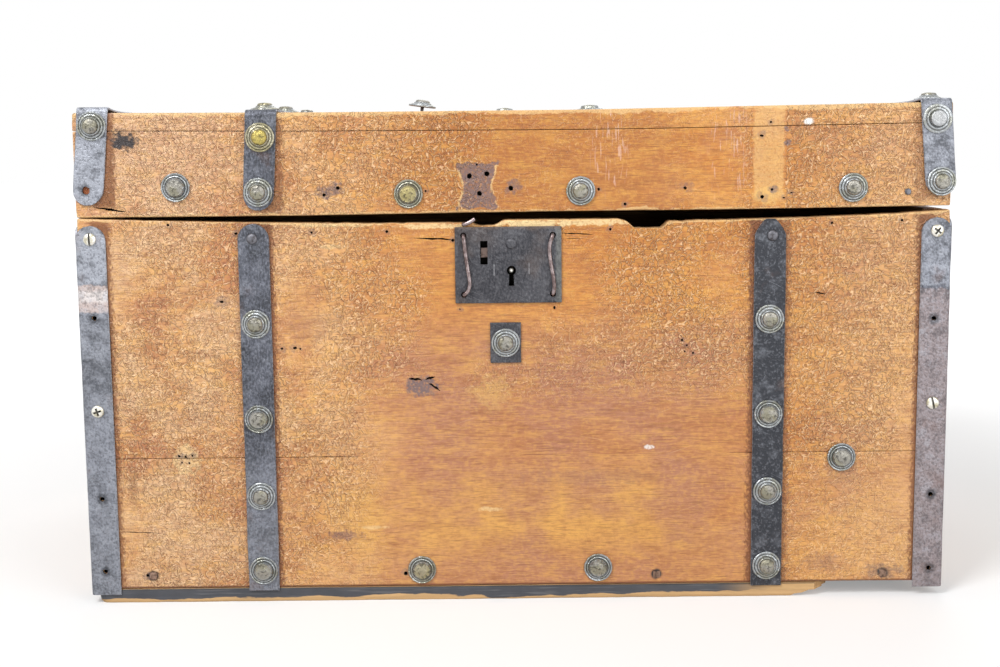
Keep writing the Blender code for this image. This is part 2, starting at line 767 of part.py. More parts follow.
def build_bolt(steel):
    """The sliding bolt, thrown across the slot, with a notch below for the key."""
    tip = SLOT_X + SLOT_W / 2 - BOLT_REACH
    tail = CASE_RIGHT_X - BOLT_SPARE - BOLT_TRAVEL
    low, high = BOLT_Z - BOLT_H / 2, BOLT_Z + BOLT_H / 2
    notch = low + TALON_H
    outline = [
        (tip, low),
        (KEY_X - TALON_W / 2, low),
        (KEY_X - TALON_W / 2, notch),
        (KEY_X + TALON_W / 2, notch),
        (KEY_X + TALON_W / 2, low),
        (tail, low),
        (tail, high),
        (tip, high),
    ]
    pivot = empty("lock_bolt_slide_axis", (tip, FRONT_Y, BOLT_Z))
    shape = bmesh.new()
    front_cut(shape, outline, FRONT_Y, FRONT_Y + BOLT_T)
    add_object("lock_bolt", shape, steel, pivot)


def build_spring(steel):
    """A bowed leaf between the top of the case and the bolt."""
    low = BOLT_Z + BOLT_H / 2 + CLEAR
    high = CASE_TOP_Z - CLEAR - SPRING_T
    left = KEY_X + RIVET_R + SPRING_FROM_RIVET
    right = CASE_RIGHT_X - SPRING_FROM_WALL
    lower = []
    for i in range(SPRING_STEPS + 1):
        share = 2 * i / SPRING_STEPS - 1
        x = (left + right + share * (right - left)) / 2
        lower.append((x, low + (high - low) * share**2))
    outline = lower + [(x, z + SPRING_T) for x, z in reversed(lower)]
    shape = bmesh.new()
    front_cut(shape, outline, FRONT_Y, FRONT_Y + SPRING_W)
    add_object("lock_spring", shape, steel)


def tube(shape, path, radius, sides, across):
    """A rod along a path, with its sections square to it and turned alike about one direction."""
    points = [Vector(point) for point in path]
    across = Vector(across)
    rings = []
    for i, point in enumerate(points):
        before = (point - points[i - 1]).normalized() if i else None
        after = (points[i + 1] - point).normalized() if i + 1 < len(points) else None
        along = (before or after) + (after or before)
        along.normalize()
        stretch = 1 / along.dot(before or after)
        right = (across - across.dot(along) * along).normalized()
        up = along.cross(right)
        rings.append([point + right * u + up * v * stretch for u, v in circle(radius, sides)])
    loft(shape, rings)


def build_wires(steel):
    """Two wires bent through the holes of the lock plate, one with its end standing above it."""
    run = FRONT_Y - 2 * CLEAR - PLATE_T - WIRE_R
    deep = FRONT_Y + WIRE_LEG
    for side, word in ((-1, "left"), (1, "right")):
        low_x, low_z = wire_hole(side, -1)
        high_x, high_z = wire_hole(side, 1)
        middle_z = (low_z + high_z) / 2
        path = [
            (low_x, deep, low_z),
            (low_x, run, low_z),
            (low_x - side * WIRE_BOW, run, middle_z),
            (high_x, run, high_z),
        ]
        if side > 0:
            path.append((high_x, deep, high_z))
        else:
            groove = FRONT_Y + WIRE_GROOVE
            outside = FRONT_Y - CLEAR - WIRE_R
            edge = LOCK_Z + PLATE_H / 2 + CLEAR + WIRE_R
            path.append((high_x, groove, high_z))
            path.append((high_x, groove, edge))
            path.append((high_x, outside, edge))
            path.append((high_x + WIRE_END_X, outside, edge + WIRE_END_Z))
        shape = bmesh.new()
        tube(shape, path, WIRE_R, WIRE_SIDES, (1, 0, 0))
        add_object(f"lock_wire_{word}", shape, steel, smooth=True)


def build_lid(pine, pewter, pivot):
    """The boards of the lid and the studs driven straight into them."""
    places = lid_stud_places()
    pockets = bmesh.new()
    all_places = list(places.values())
    for strap in LID_STRAPS:
        all_places += lid_strap_stud_places(strap)
    for place in all_places:
        shank_pocket(pockets, place)
    pocket_tool = add_tool("lid_pockets", pockets)
    seam_y = FRONT_Y + TOP_FRONT_W
    end_x = HALF_W - RIM_T
    inner_y = DEPTH / 2 - RIM_T - CLEAR
    top = (LID_SEAM_Z + CLEAR, LID_TOP_Z)
    rim = (LID_BOTTOM_Z, LID_SEAM_Z)
    boards = {
        # the ranges that each board fills in X, Y and Z
        "lid_top_front_board": ((-HALF_W, HALF_W), (FRONT_Y, seam_y), top),
        "lid_top_rear_board": ((-HALF_W, HALF_W), (seam_y + CLEAR, BACK_Y), top),
        "lid_front_board": ((-HALF_W, HALF_W), (FRONT_Y, FRONT_Y + RIM_T), rim),
        "lid_back_board": ((-HALF_W, HALF_W), (BACK_Y - RIM_T, BACK_Y), rim),
        "lid_left_end_board": ((-HALF_W, -end_x), (-inner_y, inner_y), rim),
        "lid_right_end_board": ((end_x, HALF_W), (-inner_y, inner_y), rim),
    }
    studded = ("lid_top_front_board", "lid_top_rear_board", "lid_front_board")
    for name, ranges in boards.items():
        board = add_object(name, shape_of(box, *zip(*ranges)), pine, pivot)
        if name in studded:
            boolean(board, "DIFFERENCE", pocket_tool)
    for name, place in places.items():
        add_object(name, shape_of(stud, place), pewter, pivot, smooth=True)


def build_lid_straps(iron, pivot):
    """Straps that rise up the lid's front, cross its top and turn down behind."""
    half = LID_STRAP_W / 2
    face, back = FRONT_Y - CLEAR, BACK_Y + CLEAR
    top = LID_TOP_Z + CLEAR
    for strap in LID_STRAPS:
        x = lid_strap_x(strap, LID_TOP_Z)
        foot = LID_BOTTOM_Z + strap.foot
        rings = []
        for rise, width in round_end(LID_STRAP_W):
            z = foot + rise
            rings.append(strap_ring(lid_strap_x(strap, z), width, (0, face, z), (0, -STRAP_T, 0)))
        rings.append(strap_ring(x, half, (0, face, top), (0, -STRAP_T, STRAP_T)))
        rings.append(strap_ring(x, half, (0, back, top), (0, STRAP_T, STRAP_T)))
        for rise, width in reversed(round_end(LID_STRAP_W)):
            z = LID_TOP_Z - LID_STRAP_BACK_LEG + rise
            rings.append(strap_ring(x, width, (0, back, z), (0, STRAP_T, 0)))
        obj = add_object(strap.name, shape_of(loft, rings), iron, pivot, smooth=True)
        places = lid_strap_stud_places(strap)
        studs = bmesh.new()
        for place in places:
            stud(studs, place, UNION_SINK)
        boolean(obj, "UNION", add_tool(f"{strap.name}_studs", studs))


def knuckle(shape, x0, x1, way):
    """One knuckle with the neck that joins it to its leaf, below the pin or above it."""
    face = BACK_Y + CLEAR
    neck = KNUCKLE_R + KNUCKLE_NECK
    stop = math.acos((LEAF_T - KNUCKLE_R) / KNUCKLE_R)
    outline = [(face, -neck)]
    for i in range(BORE_SIDES + 1):
        angle = math.pi - (math.pi + stop) * i / BORE_SIDES
        outline.append((HINGE_Y + KNUCKLE_R * math.cos(angle), KNUCKLE_R * math.sin(angle)))
    outline.append((face + LEAF_T, -neck))
    prism(shape, [(x0, y, HINGE_Z + way * z) for y, z in outline], (x1 - x0, 0, 0))


def build_hinges(iron, steel, pivot):
    """Two strap hinges: a leaf on the body, a leaf on the lid and the pin through their knuckles."""
    face = BACK_Y + CLEAR
    half = LEAF_W / 2
    third = LEAF_W / 6
    edge = KNUCKLE_R + CLEAR
    for word, x in (("left", LEFT_STRAP_X), ("right", RIGHT_STRAP_X)):
        bore_shape = bmesh.new()
        bore = [(x - LEAF_W, HINGE_Y + u, HINGE_Z + v) for u, v in round_hole(HINGE_PIN_R + CLEAR)]
        prism(bore_shape, bore, (2 * LEAF_W, 0, 0))
        bore_tool = add_tool(f"hinge_{word}_bore", bore_shape)
        body_low = (x - half, face, HINGE_Z - edge - BODY_LEAF_L)
        lid_high = (x + half, face + LEAF_T, LID_TOP_Z - LID_STRAP_BACK_LEG - LID_LEAF_GAP)
        leaves = {
            "body": (body_low, (x + half, face + LEAF_T, HINGE_Z - edge), None),
            "lid": ((x - half, face, HINGE_Z + edge), lid_high, pivot),
        }
        spans = {
            "body": ((x - half, x - third - CLEAR), (x + third + CLEAR, x + half)),
            "lid": ((x - third, x + third),),
        }
        for part, (low, high, parent) in leaves.items():
            name = f"hinge_{word}_{part}_leaf"
            leaf = add_object(name, shape_of(box, low, high), iron, parent, smooth=True)
            for i, (x0, x1) in enumerate(spans[part]):
                knuckle_shape = bmesh.new()
                knuckle(knuckle_shape, x0, x1, 1 if part == "body" else -1)
                boolean(leaf, "UNION", add_tool(f"{name}_knuckle_{i}", knuckle_shape))
            boolean(leaf, "DIFFERENCE", bore_tool)
        pin = bmesh.new()
        reach = half + CLEAR
        levels = (
            (HINGE_PIN_HEAD_R, -reach - HINGE_PIN_HEAD_L),
            (HINGE_PIN_HEAD_R, -reach),
            (HINGE_PIN_R, -reach),
            (HINGE_PIN_R, reach),
            (HINGE_PIN_HEAD_R, reach),
            (HINGE_PIN_HEAD_R, reach + HINGE_PIN_HEAD_L),
        )
        rings = []
        for radius, along in levels:
            ring = circle(radius, BORE_SIDES)
            rings.append([(x + along, HINGE_Y + u, HINGE_Z + v) for u, v in ring])
        loft(pin, rings)
        add_object(f"hinge_{word}_pin", pin, steel, smooth=True)


def rounded(points, radii):
    """A path of straight runs whose corners are arcs of the given radii."""
    path = [points[0]]
    for before, corner, after, radius in zip(points, points[1:], points[2:], radii):
        back = (Vector(before) - Vector(corner)).normalized()
        ahead = (Vector(after) - Vector(corner)).normalized()
        centre = Vector(corner) + (back + ahead) * radius
        for i in range(BAIL_ARC_STEPS + 1):
            angle = math.pi / 2 * i / BAIL_ARC_STEPS
            path.append(centre - ahead * radius * math.cos(angle) - back * radius * math.sin(angle))
    path.append(points[-1])
    return path


def build_handles(iron):
    """A drop handle on each end: a bail hanging from two eyes."""
    for side, word in ((-1, "left"), (1, "right")):
        face = side * (HALF_W + CLEAR)
        axis_x = side * (HALF_W + PIVOT_OUT)
        pivot = empty(f"{word}_handle_swing_axis", (axis_x, 0, HANDLE_Z))
        end = EYE_Y + LUG_T / 2 + TRUNNION_END
        low = HANDLE_Z - BAIL_DROP
        corners = [(-end, HANDLE_Z), (-BAIL_HALF, HANDLE_Z), (-BAIL_HALF, low)]
        corners += [(-y, z) for y, z in reversed(corners)]
        radii = (BAIL_NECK_R, BAIL_CORNER_R, BAIL_CORNER_R, BAIL_NECK_R)
        path = rounded([Vector((axis_x, y, z)) for y, z in corners], radii)
        bail = bmesh.new()
        tube(bail, path, ROD_R, ROD_SIDES, (1, 0, 0))
        add_object(f"{word}_handle_bail", bail, iron, pivot, pivot.location, smooth=True)
        for y, place in ((-EYE_Y, "front"), (EYE_Y, "rear")):
            name = f"{word}_handle_{place}_eye"
            low_x, high_x = sorted((face, face + side * EYE_T))
            flange = shape_of(
                box,
                (low_x, y - EYE_W / 2, HANDLE_Z - EYE_H / 2),
                (high_x, y + EYE_W / 2, HANDLE_Z + EYE_H / 2),
            )
            eye = add_object(name, flange, iron)
            lug = [(face + side * UNION_SINK, -LUG_R)]
            for i in range(BORE_SIDES + 1):
                angle = math.pi * i / BORE_SIDES - math.pi / 2
                lug.append((axis_x + side * LUG_R * math.cos(angle), LUG_R * math.sin(angle)))
            lug.append((face + side * UNION_SINK, LUG_R))
            lug_shape = bmesh.new()
            prism(lug_shape, [(x, y - LUG_T / 2, HANDLE_Z + z) for x, z in lug], (0, LUG_T, 0))
            boolean(eye, "UNION", add_tool(f"{name}_lug", lug_shape))
            bore = bmesh.new()
            ring = moved(round_hole(ROD_R + CLEAR), axis_x, HANDLE_Z)
            front_cut(bore, ring, y - LUG_T, y + LUG_T)
            boolean(eye, "DIFFERENCE", add_tool(f"{name}_bore", bore))


def main():
    """Builds the trunk."""
    clear_scene()
    pine = paint("varnished_pine", (0.55, 0.28, 0.10), 0.45, 0.0)
    bare_pine = paint("bare_pine", (0.42, 0.27, 0.14), 0.80, 0.0)
    iron = paint("strap_iron", (0.10, 0.11, 0.14), 0.50, 0.85)
    lock_iron = paint("lock_iron", (0.05, 0.06, 0.08), 0.50, 0.85)
    pewter = paint("stud_metal", (0.38, 0.37, 0.33), 0.40, 0.9)
    steel = paint("bare_steel", (0.30, 0.28, 0.26), 0.45, 0.9)
    build_walls(pine)
    build_bottom(bare_pine)
    build_inner_straps(iron)
    build_corner_irons(iron)
    build_front_studs(pewter, lock_iron)
    build_lock_plate(lock_iron)
    build_lock_case(lock_iron, steel)
    build_bolt(steel)
    build_spring(steel)
    build_wires(steel)
    lid_pivot = empty("lid_hinge_axis", (0, HINGE_Y, HINGE_Z))
    build_lid(pine, pewter, lid_pivot)
    build_lid_straps(iron, lid_pivot)
    build_hinges(iron, steel, lid_pivot)
    build_handles(iron)


main()
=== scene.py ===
"""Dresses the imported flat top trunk: worn pine boards, iron straps, brimmed studs and a plate lock.

The trunk stands on the ground with its front towards -Y, its right end towards +X and +Z up, in metres.
"""

import logging
import math
import random
from dataclasses import dataclass, field
from enum import Enum
from functools import reduce
from typing import Sequence, Union

import bmesh
import bpy
import numpy as np
from bmesh.types import BMesh
from bpy.types import ID, Material, Mesh, Node, NodeSocket, NodeTree, Object
from mathutils import Matrix, Vector, noise


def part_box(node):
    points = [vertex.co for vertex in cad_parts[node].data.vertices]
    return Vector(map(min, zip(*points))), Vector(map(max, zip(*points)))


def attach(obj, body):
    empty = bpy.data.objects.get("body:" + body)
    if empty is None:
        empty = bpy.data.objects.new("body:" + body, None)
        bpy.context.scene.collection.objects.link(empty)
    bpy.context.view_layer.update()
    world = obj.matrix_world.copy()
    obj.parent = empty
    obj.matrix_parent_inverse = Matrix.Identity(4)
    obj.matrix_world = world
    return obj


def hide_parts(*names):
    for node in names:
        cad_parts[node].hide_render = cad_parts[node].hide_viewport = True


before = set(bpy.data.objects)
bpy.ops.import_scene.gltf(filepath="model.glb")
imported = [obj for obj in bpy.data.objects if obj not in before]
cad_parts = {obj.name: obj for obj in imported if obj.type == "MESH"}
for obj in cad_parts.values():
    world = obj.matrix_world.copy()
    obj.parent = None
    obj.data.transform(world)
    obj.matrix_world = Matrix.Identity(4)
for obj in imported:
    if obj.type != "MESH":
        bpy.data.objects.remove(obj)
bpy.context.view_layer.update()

LOG = logging.getLogger("trunk")
SMOOTH_ANGLE = math.radians(35)

Colour = tuple[float, float, float, float]
Point = tuple[float, float, float]
Spot = tuple[float, float]

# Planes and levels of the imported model
FRONT_Y, FOOT_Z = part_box("front_lower_board")[0].yz
HALF_W, SEAM_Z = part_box("front_lower_board")[1].xz
BACK_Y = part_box("back_lower_board")[1].y
RIM_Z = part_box("back_upper_board")[1].z
LID_LOW_Z, LID_SEAM_Z = (corner.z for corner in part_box("lid_front_board"))
LID_TOP_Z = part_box("lid_top_front_board")[1].z
GAP = 0.0003
STRAP_T = 0.0015
LEAF_T = 0.0020
EYE_T = 0.0025
STRAP_FACE_Y = FRONT_Y - GAP - STRAP_T
STRAP_BACK_Y = BACK_Y + GAP + STRAP_T
LEAF_BACK_Y = BACK_Y + GAP + LEAF_T
OUT_FRONT, OUT_BACK, OUT_TOP = (0, -1, 0), (0, 1, 0), (0, 0, 1)
INNER_STRAP_X = (-0.1930, 0.1905)  # of the front's inner straps and of the hinges behind
LID_STRAP_X = (-0.3080, -0.1846, 0.3108)  # on the lid's top, from left to right
GHOST_X = 0.1888  # of the lid strap that is missing
SQUARE = ((-1, -1), (1, -1), (1, 1), (-1, 1))


def tone(red: int, green: int, blue: int) -> Colour:
    """Turns a colour as it looks on a screen into the linear colour that a shader takes.

    Args:
        red: Red from 0 to 255.
        green: Green from 0 to 255.
        blue: Blue from 0 to 255.

    Returns:
        The linear colour, with an alpha of 1.
    """
    shares = [value / 255 for value in (red, green, blue)]
    linear = [s / 12.92 if s <= 0.04045 else ((s + 0.055) / 1.055) ** 2.4 for s in shares]
    return (*linear, 1.0)


class Field:
    """A value that varies over a surface, with the usual arithmetic."""

    def __init__(self, brush: "Brush", socket: NodeSocket) -> None:
        """Keeps the socket that gives the value."""
        self.brush = brush
        self.socket = socket

    def __add__(self, other: "Value") -> "Field":
        """Adds a value."""
        return self.brush.math("ADD", self, other)

    def __sub__(self, other: "Value") -> "Field":
        """Takes a value away."""
        return self.brush.math("SUBTRACT", self, other)

    def __rsub__(self, other: "Value") -> "Field":
        """Takes this away from a value."""
        return self.brush.math("SUBTRACT", other, self)

    def __mul__(self, other: "Value") -> "Field":
        """Multiplies by a value."""
        return self.brush.math("MULTIPLY", self, other)

    def __truediv__(self, other: "Value") -> "Field":
        """Divides by a value."""
        return self.brush.math("DIVIDE", self, other)

    def __abs__(self) -> "Field":
        """Drops the sign."""
        return self.brush.math("ABSOLUTE", self)

    __radd__ = __add__
    __rmul__ = __mul__


Value = Union[Field, float]
Paint = Union[Field, Colour]


class Forge:
    """Builds the nodes of one tree."""

    def __init__(self, tree: NodeTree) -> None:
        """Keeps the tree."""
        self.tree = tree

    def add(self, kind: str, feeds: Sequence[object] = (), **values: object) -> Node:
        """Adds a node, sets its properties and feeds its inputs in order.

        Args:
            kind: The node's type.
            feeds: What each input takes.
            values: Properties of the node.

        Returns:
            The node.
        """
        node = self.tree.nodes.new(kind)
        for key, value in values.items():
            setattr(node, key, value)
        for socket, value in zip([socket for socket in node.inputs if socket.enabled], feeds):
            self.feed(socket, value)
        return node

    def feed(self, socket: NodeSocket, value: object) -> None:
        """Links an input to a field or a socket, sets its own value, or leaves it where that is None.

        Args:
            socket: The input.
            value: What it takes.
        """
        source = value.socket if isinstance(value, Field) else value
        if isinstance(source, NodeSocket):
            self.tree.links.new(source, socket)
        elif source is not None:
            socket.default_value = source

    def wire(self, node: Node, **feeds: object) -> Node:
        """Feeds a node's inputs by their names, with _ for a space.

        Args:
            node: The node.
            feeds: What each input takes.

        Returns:
            The same node.
        """
        for name, value in feeds.items():
            self.feed(node.inputs[name.replace("_", " ")], value)
        return node

    def sum(self, operation: str, *values: object) -> NodeSocket:
        """Does one sum."""
        return self.add("ShaderNodeMath", values, operation=operation).outputs[0]


class Brush(Forge):
    """Builds the nodes of one material, whose colour is laid on coat by coat."""

    def __init__(self, name: str) -> None:
        """Starts a material with its surface shader and the place of each point of the surface.

        Args:
            name: Name of the material.
        """
        self.material = bpy.data.materials.new(name)
        self.material.use_nodes = True
        super().__init__(self.material.node_tree)
        self.shader = self.tree.nodes["Principled BSDF"]
        self.where = Field(self, self.add("ShaderNodeTexCoord").outputs["Object"])
        split = self.add("ShaderNodeSeparateXYZ", (self.where,))
        self.x, self.y, self.z = (Field(self, socket) for socket in split.outputs)
        self.hue: Paint = (0.0, 0.0, 0.0, 1.0)

    def math(self, operation: str, *values: Value) -> Field:
        """Does one sum on one or two values."""
        return Field(self, self.sum(operation, *values))

    def most(self, *values: Value) -> Field:
        """The greatest of a few values."""
        return reduce(lambda first, second: self.math("MAXIMUM", first, second), values)

    def attribute(self, name: str) -> Field:
        """A number that the mesh carries."""
        return Field(self, self.add("ShaderNodeAttribute", attribute_name=name).outputs["Fac"])

    def clouds(
        self, scale: float, detail: float = 2.0, swirl: float = 0.0, where: Sequence[Value] = ()
    ) -> Field:
        """Soft noise about a half.

        Args:
            scale: How many clouds there are to a unit.
            detail: How many finer layers are added.
            swirl: How far the clouds are twisted.
            where: X, Y and Z that it is read at, if not at the surface's own place.

        Returns:
            The noise, from 0 to 1.
        """
        vector = self.add("ShaderNodeCombineXYZ", where).outputs[0] if where else self.where
        node = self.add("ShaderNodeTexNoise")
        self.wire(node, Vector=vector, Scale=scale, Detail=detail, Distortion=swirl)
        return Field(self, node.outputs[0])

    def step(self, value: Value, start: float, end: float) -> Field:
        """Goes smoothly from 0 at the start to 1 at the end, which may lie below the start."""
        node = self.add("ShaderNodeMapRange", interpolation_type="SMOOTHSTEP")
        return Field(self, self.wire(node, Value=value, From_Min=start, From_Max=end).outputs[0])

    def band(self, value: Field, middle: float, outer: float, inner: float) -> Field:
        """1 within an inner distance of the middle, and 0 beyond the outer one."""
        return self.step(abs(value - middle), outer, inner)

    def away(self, x: float, z: float, half_w: float = 1.0, half_h: float = 1.0) -> Field:
        """Distance from a spot of X and Z, in half widths and half heights."""
        across, up = (self.x - x) / half_w, (self.z - z) / half_h
        return self.math("SQRT", across * across + up * up)

    def blend(self, share: Value, first: Paint, second: Paint) -> Field:
        """Mixes two colours.

        Args:
            share: How much of the second there is.
            first: The colour at a share of 0.
            second: The colour at a share of 1.

        Returns:
            The mixed colour.
        """
        node = self.add("ShaderNodeMix", data_type="RGBA", blend_type="MIX")
        for place, value in ((0, share), (6, first), (7, second)):
            self.feed(node.inputs[place], value)
        return Field(self, node.outputs[2])

    def coat(self, *coats: tuple[Value, Paint]) -> None:
        """Lays colours over what is there, each with its share."""
        for share, colour in coats:
            self.hue = self.blend(share, self.hue, colour)

    def flecks(self, *rows: tuple[Value, float, float, Value, Paint]) -> None:
        """Lays colours where a value goes from its start to its end, each with its share."""
        for value, start, end, share, colour in rows:
            self.coat((self.step(value, start, end) * share, colour))

    def scratches(self, *slopes: float) -> Field:
        """Fine straight scratches that lean a few ways.

        Args:
            slopes: How far each set of them leans.

        Returns:
            Where the scratches are.
        """
        found = []
        for slope in slopes:
            run, across = self.x + self.z * slope, self.z - self.x * slope
            lines = self.clouds(1.0, where=(run * 26.0 + slope * 7.0, self.y * 26.0, across * 1200.0))
            found.append(self.step(lines, 0.67, 0.75))
        return self.most(*found)

    def bump(self, height: Field, depth: float, strength: float = 1.0) -> Field:
        """Turns a height from 0 to 1 into a bumpy normal of a real depth."""
        node = self.add("ShaderNodeBump")
        return Field(self, self.wire(node, Strength=strength, Distance=depth, Height=height).outputs[0])

    def finish(self, **inputs: object) -> None:
        """Gives the surface shader its colour and its other inputs."""
        self.wire(self.shader, Base_Color=self.hue, **inputs)


class MarkKind(Enum):
    """What a mark on the front is, with its colour."""

    BARE = tone(236, 205, 150)
    GHOST = tone(233, 190, 124)
    YELLOW = tone(226, 182, 106)
    PURPLE = tone(112, 92, 92)
    STAIN = tone(140, 100, 84)
    BURNT = tone(52, 44, 44)
    DARK = tone(120, 76, 46)
    CHALK = tone(250, 246, 240)
    RUST = tone(150, 80, 36)


@dataclass(frozen=True)
class Mark:
    """A worn or stained patch of the front, as an ellipse in X and Z."""

    kind: MarkKind
    x: float
    z: float
    half_w: float
    half_h: float
    strength: float = 0.8
    fray: float = 2.6

    def mask(self, brush: Brush, ragged: Field) -> Field:
        """How strong the mark is, with an edge that is frayed by noise about 0."""
        away = brush.away(self.x, self.z, self.half_w, self.half_h) + ragged * self.fray
        return brush.step(away, 1.25, 0.60) * self.strength


FRONT_MARKS = (
    Mark(MarkKind.BURNT, -0.2865, 0.3511, 0.0105, 0.0072, 1.0),
    Mark(MarkKind.RUST, -0.3149, 0.3152, 0.0060, 0.0060, 1.0),
    Mark(MarkKind.CHALK, 0.2174, 0.3601, 0.0036, 0.0027, 1.0, 0.7),
    Mark(MarkKind.CHALK, 0.1021, 0.1175, 0.0040, 0.0018, 0.7),
    Mark(MarkKind.BARE, -0.1333, 0.2718, 0.0085, 0.0020, 0.5),
    Mark(MarkKind.BARE, -0.2488, 0.1108, 0.0105, 0.0105, 0.6),
    Mark(MarkKind.PURPLE, -0.0690, 0.1661, 0.0110, 0.0070, 0.95),
    Mark(MarkKind.YELLOW, -0.0165, 0.1602, 0.0160, 0.0120, 0.35),
    Mark(MarkKind.STAIN, -0.1298, 0.0515, 0.0110, 0.0040, 0.8),
    Mark(MarkKind.PURPLE, 0.2017, 0.3547, 0.0022, 0.0020, 0.9),
    Mark(MarkKind.PURPLE, 0.2018, 0.3445, 0.0024, 0.0022, 0.9),
    Mark(MarkKind.PURPLE, 0.0003, 0.3150, 0.0062, 0.0040, 0.55),
    Mark(MarkKind.PURPLE, -0.1345, 0.3130, 0.0100, 0.0055, 0.75),
    Mark(MarkKind.STAIN, 0.1265, 0.3130, 0.0065, 0.0040, 0.6),
    Mark(MarkKind.STAIN, 0.2475, 0.1015, 0.0118, 0.0152, 0.35),
    Mark(MarkKind.YELLOW, 0.1870, 0.3060, 0.0100, 0.0060, 0.6),
    Mark(MarkKind.PURPLE, 0.1925, 0.3105, 0.0032, 0.0030, 0.7),
    Mark(MarkKind.BARE, -0.0206, 0.0708, 0.0100, 0.0018, 0.6),
    Mark(MarkKind.BARE, -0.1083, 0.0572, 0.0120, 0.0016, 0.5),
    Mark(MarkKind.STAIN, 0.0560, 0.0950, 0.0500, 0.0060, 0.25),
    Mark(MarkKind.STAIN, 0.2300, 0.0260, 0.0180, 0.0060, 0.35),
    Mark(MarkKind.PURPLE, 0.2790, 0.0190, 0.0150, 0.0060, 0.45),
    Mark(MarkKind.DARK, -0.2900, 0.0950, 0.0040, 0.0200, 0.35),
    Mark(MarkKind.STAIN, -0.1500, 0.2150, 0.0200, 0.0120, 0.25),
    Mark(MarkKind.BARE, 0.0130, 0.2874, 0.0260, 0.0030, 1.0),
    Mark(MarkKind.BARE, 0.0600, 0.2880, 0.0280, 0.0022, 0.9),
    Mark(MarkKind.BARE, -0.0600, 0.2860, 0.0260, 0.0018, 0.9),
    Mark(MarkKind.BARE, -0.1300, 0.2876, 0.0300, 0.0014, 0.7),
)
# Spots of the cut nails along the foot of the front
CUT_NAILS = ((-0.2777, 0.0211), (0.1070, 0.0184), (0.2801, 0.0177))
# Spots of the empty nail holes in the irons of the front; the last is the lid strap's rusty one
IRON_HOLES = (
    (-0.3134, 0.2202), (-0.3139, 0.0820), (-0.3140, 0.0253),
    (0.3134, 0.2136), (0.3147, 0.0792), (0.3148, 0.0217), (-0.3149, 0.3152),
)


class Grain(Enum):
    """The way that a board's grain runs."""

    LENGTHWISE = 0
    CROSSWISE = 1


@dataclass(frozen=True)
class StrapShade:
    """The dark varnish that has gathered beside a strap of the front, with painted shadow of the strap mixed
    in.
    """

    node: str
    left: float
    right: float
    reach: float = 0.0052
    ends: float = 0.006
    seam: float = 0.002

    def mask(self, brush: Brush, ragged: Field) -> Field:
        """How dark the gathered varnish and painted shadow are beside this strap.

        Args:
            brush: The material's brush.
            ragged: Noise about 0 that frays the edge.

        Returns:
            The strength over the surface.
        """
        low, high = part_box(self.node)
        middle = (low.x + high.x) / 2
        away = abs(brush.x - middle) - (high.x - low.x) / 2 + ragged * self.reach
        beside = brush.step(away, self.reach, self.reach * 0.20)
        above = brush.step(brush.z, low.z - self.ends, low.z)
        below = brush.step(brush.z, high.z + self.ends, high.z)
        side = brush.step(brush.x, middle - self.seam, middle + self.seam)
        return beside * (above * below) * (side * (self.right - self.left) + self.left)


# The two sides' strengths differ partly because painted shadow falls on the side away from the light.
STRAP_SHADES = (
    StrapShade("front_strap_outer_left", 0.0, 0.80),
    StrapShade("front_strap_inner_left", 0.25, 0.90),
    StrapShade("front_strap_inner_right", 0.92, 0.62, 0.0062),
    StrapShade("front_strap_outer_right", 0.85, 0.0),
    StrapShade("lid_strap_outer_left", 0.0, 0.85),
    StrapShade("lid_strap_inner_left", 0.15, 0.75),
    StrapShade("lid_strap_outer_right", 0.45, 0.0),
)


@dataclass(frozen=True)
class Finish:
    """A finish of the trunk."""

    name: str

    def paint(self) -> Material:
        """Builds the material.

        Returns:
            The finished material.
        """
        brush = Brush(self.name)
        self.lay(brush)
        return brush.material

    def lay(self, brush: Brush) -> None:
        """Lays the finish on; here nothing."""


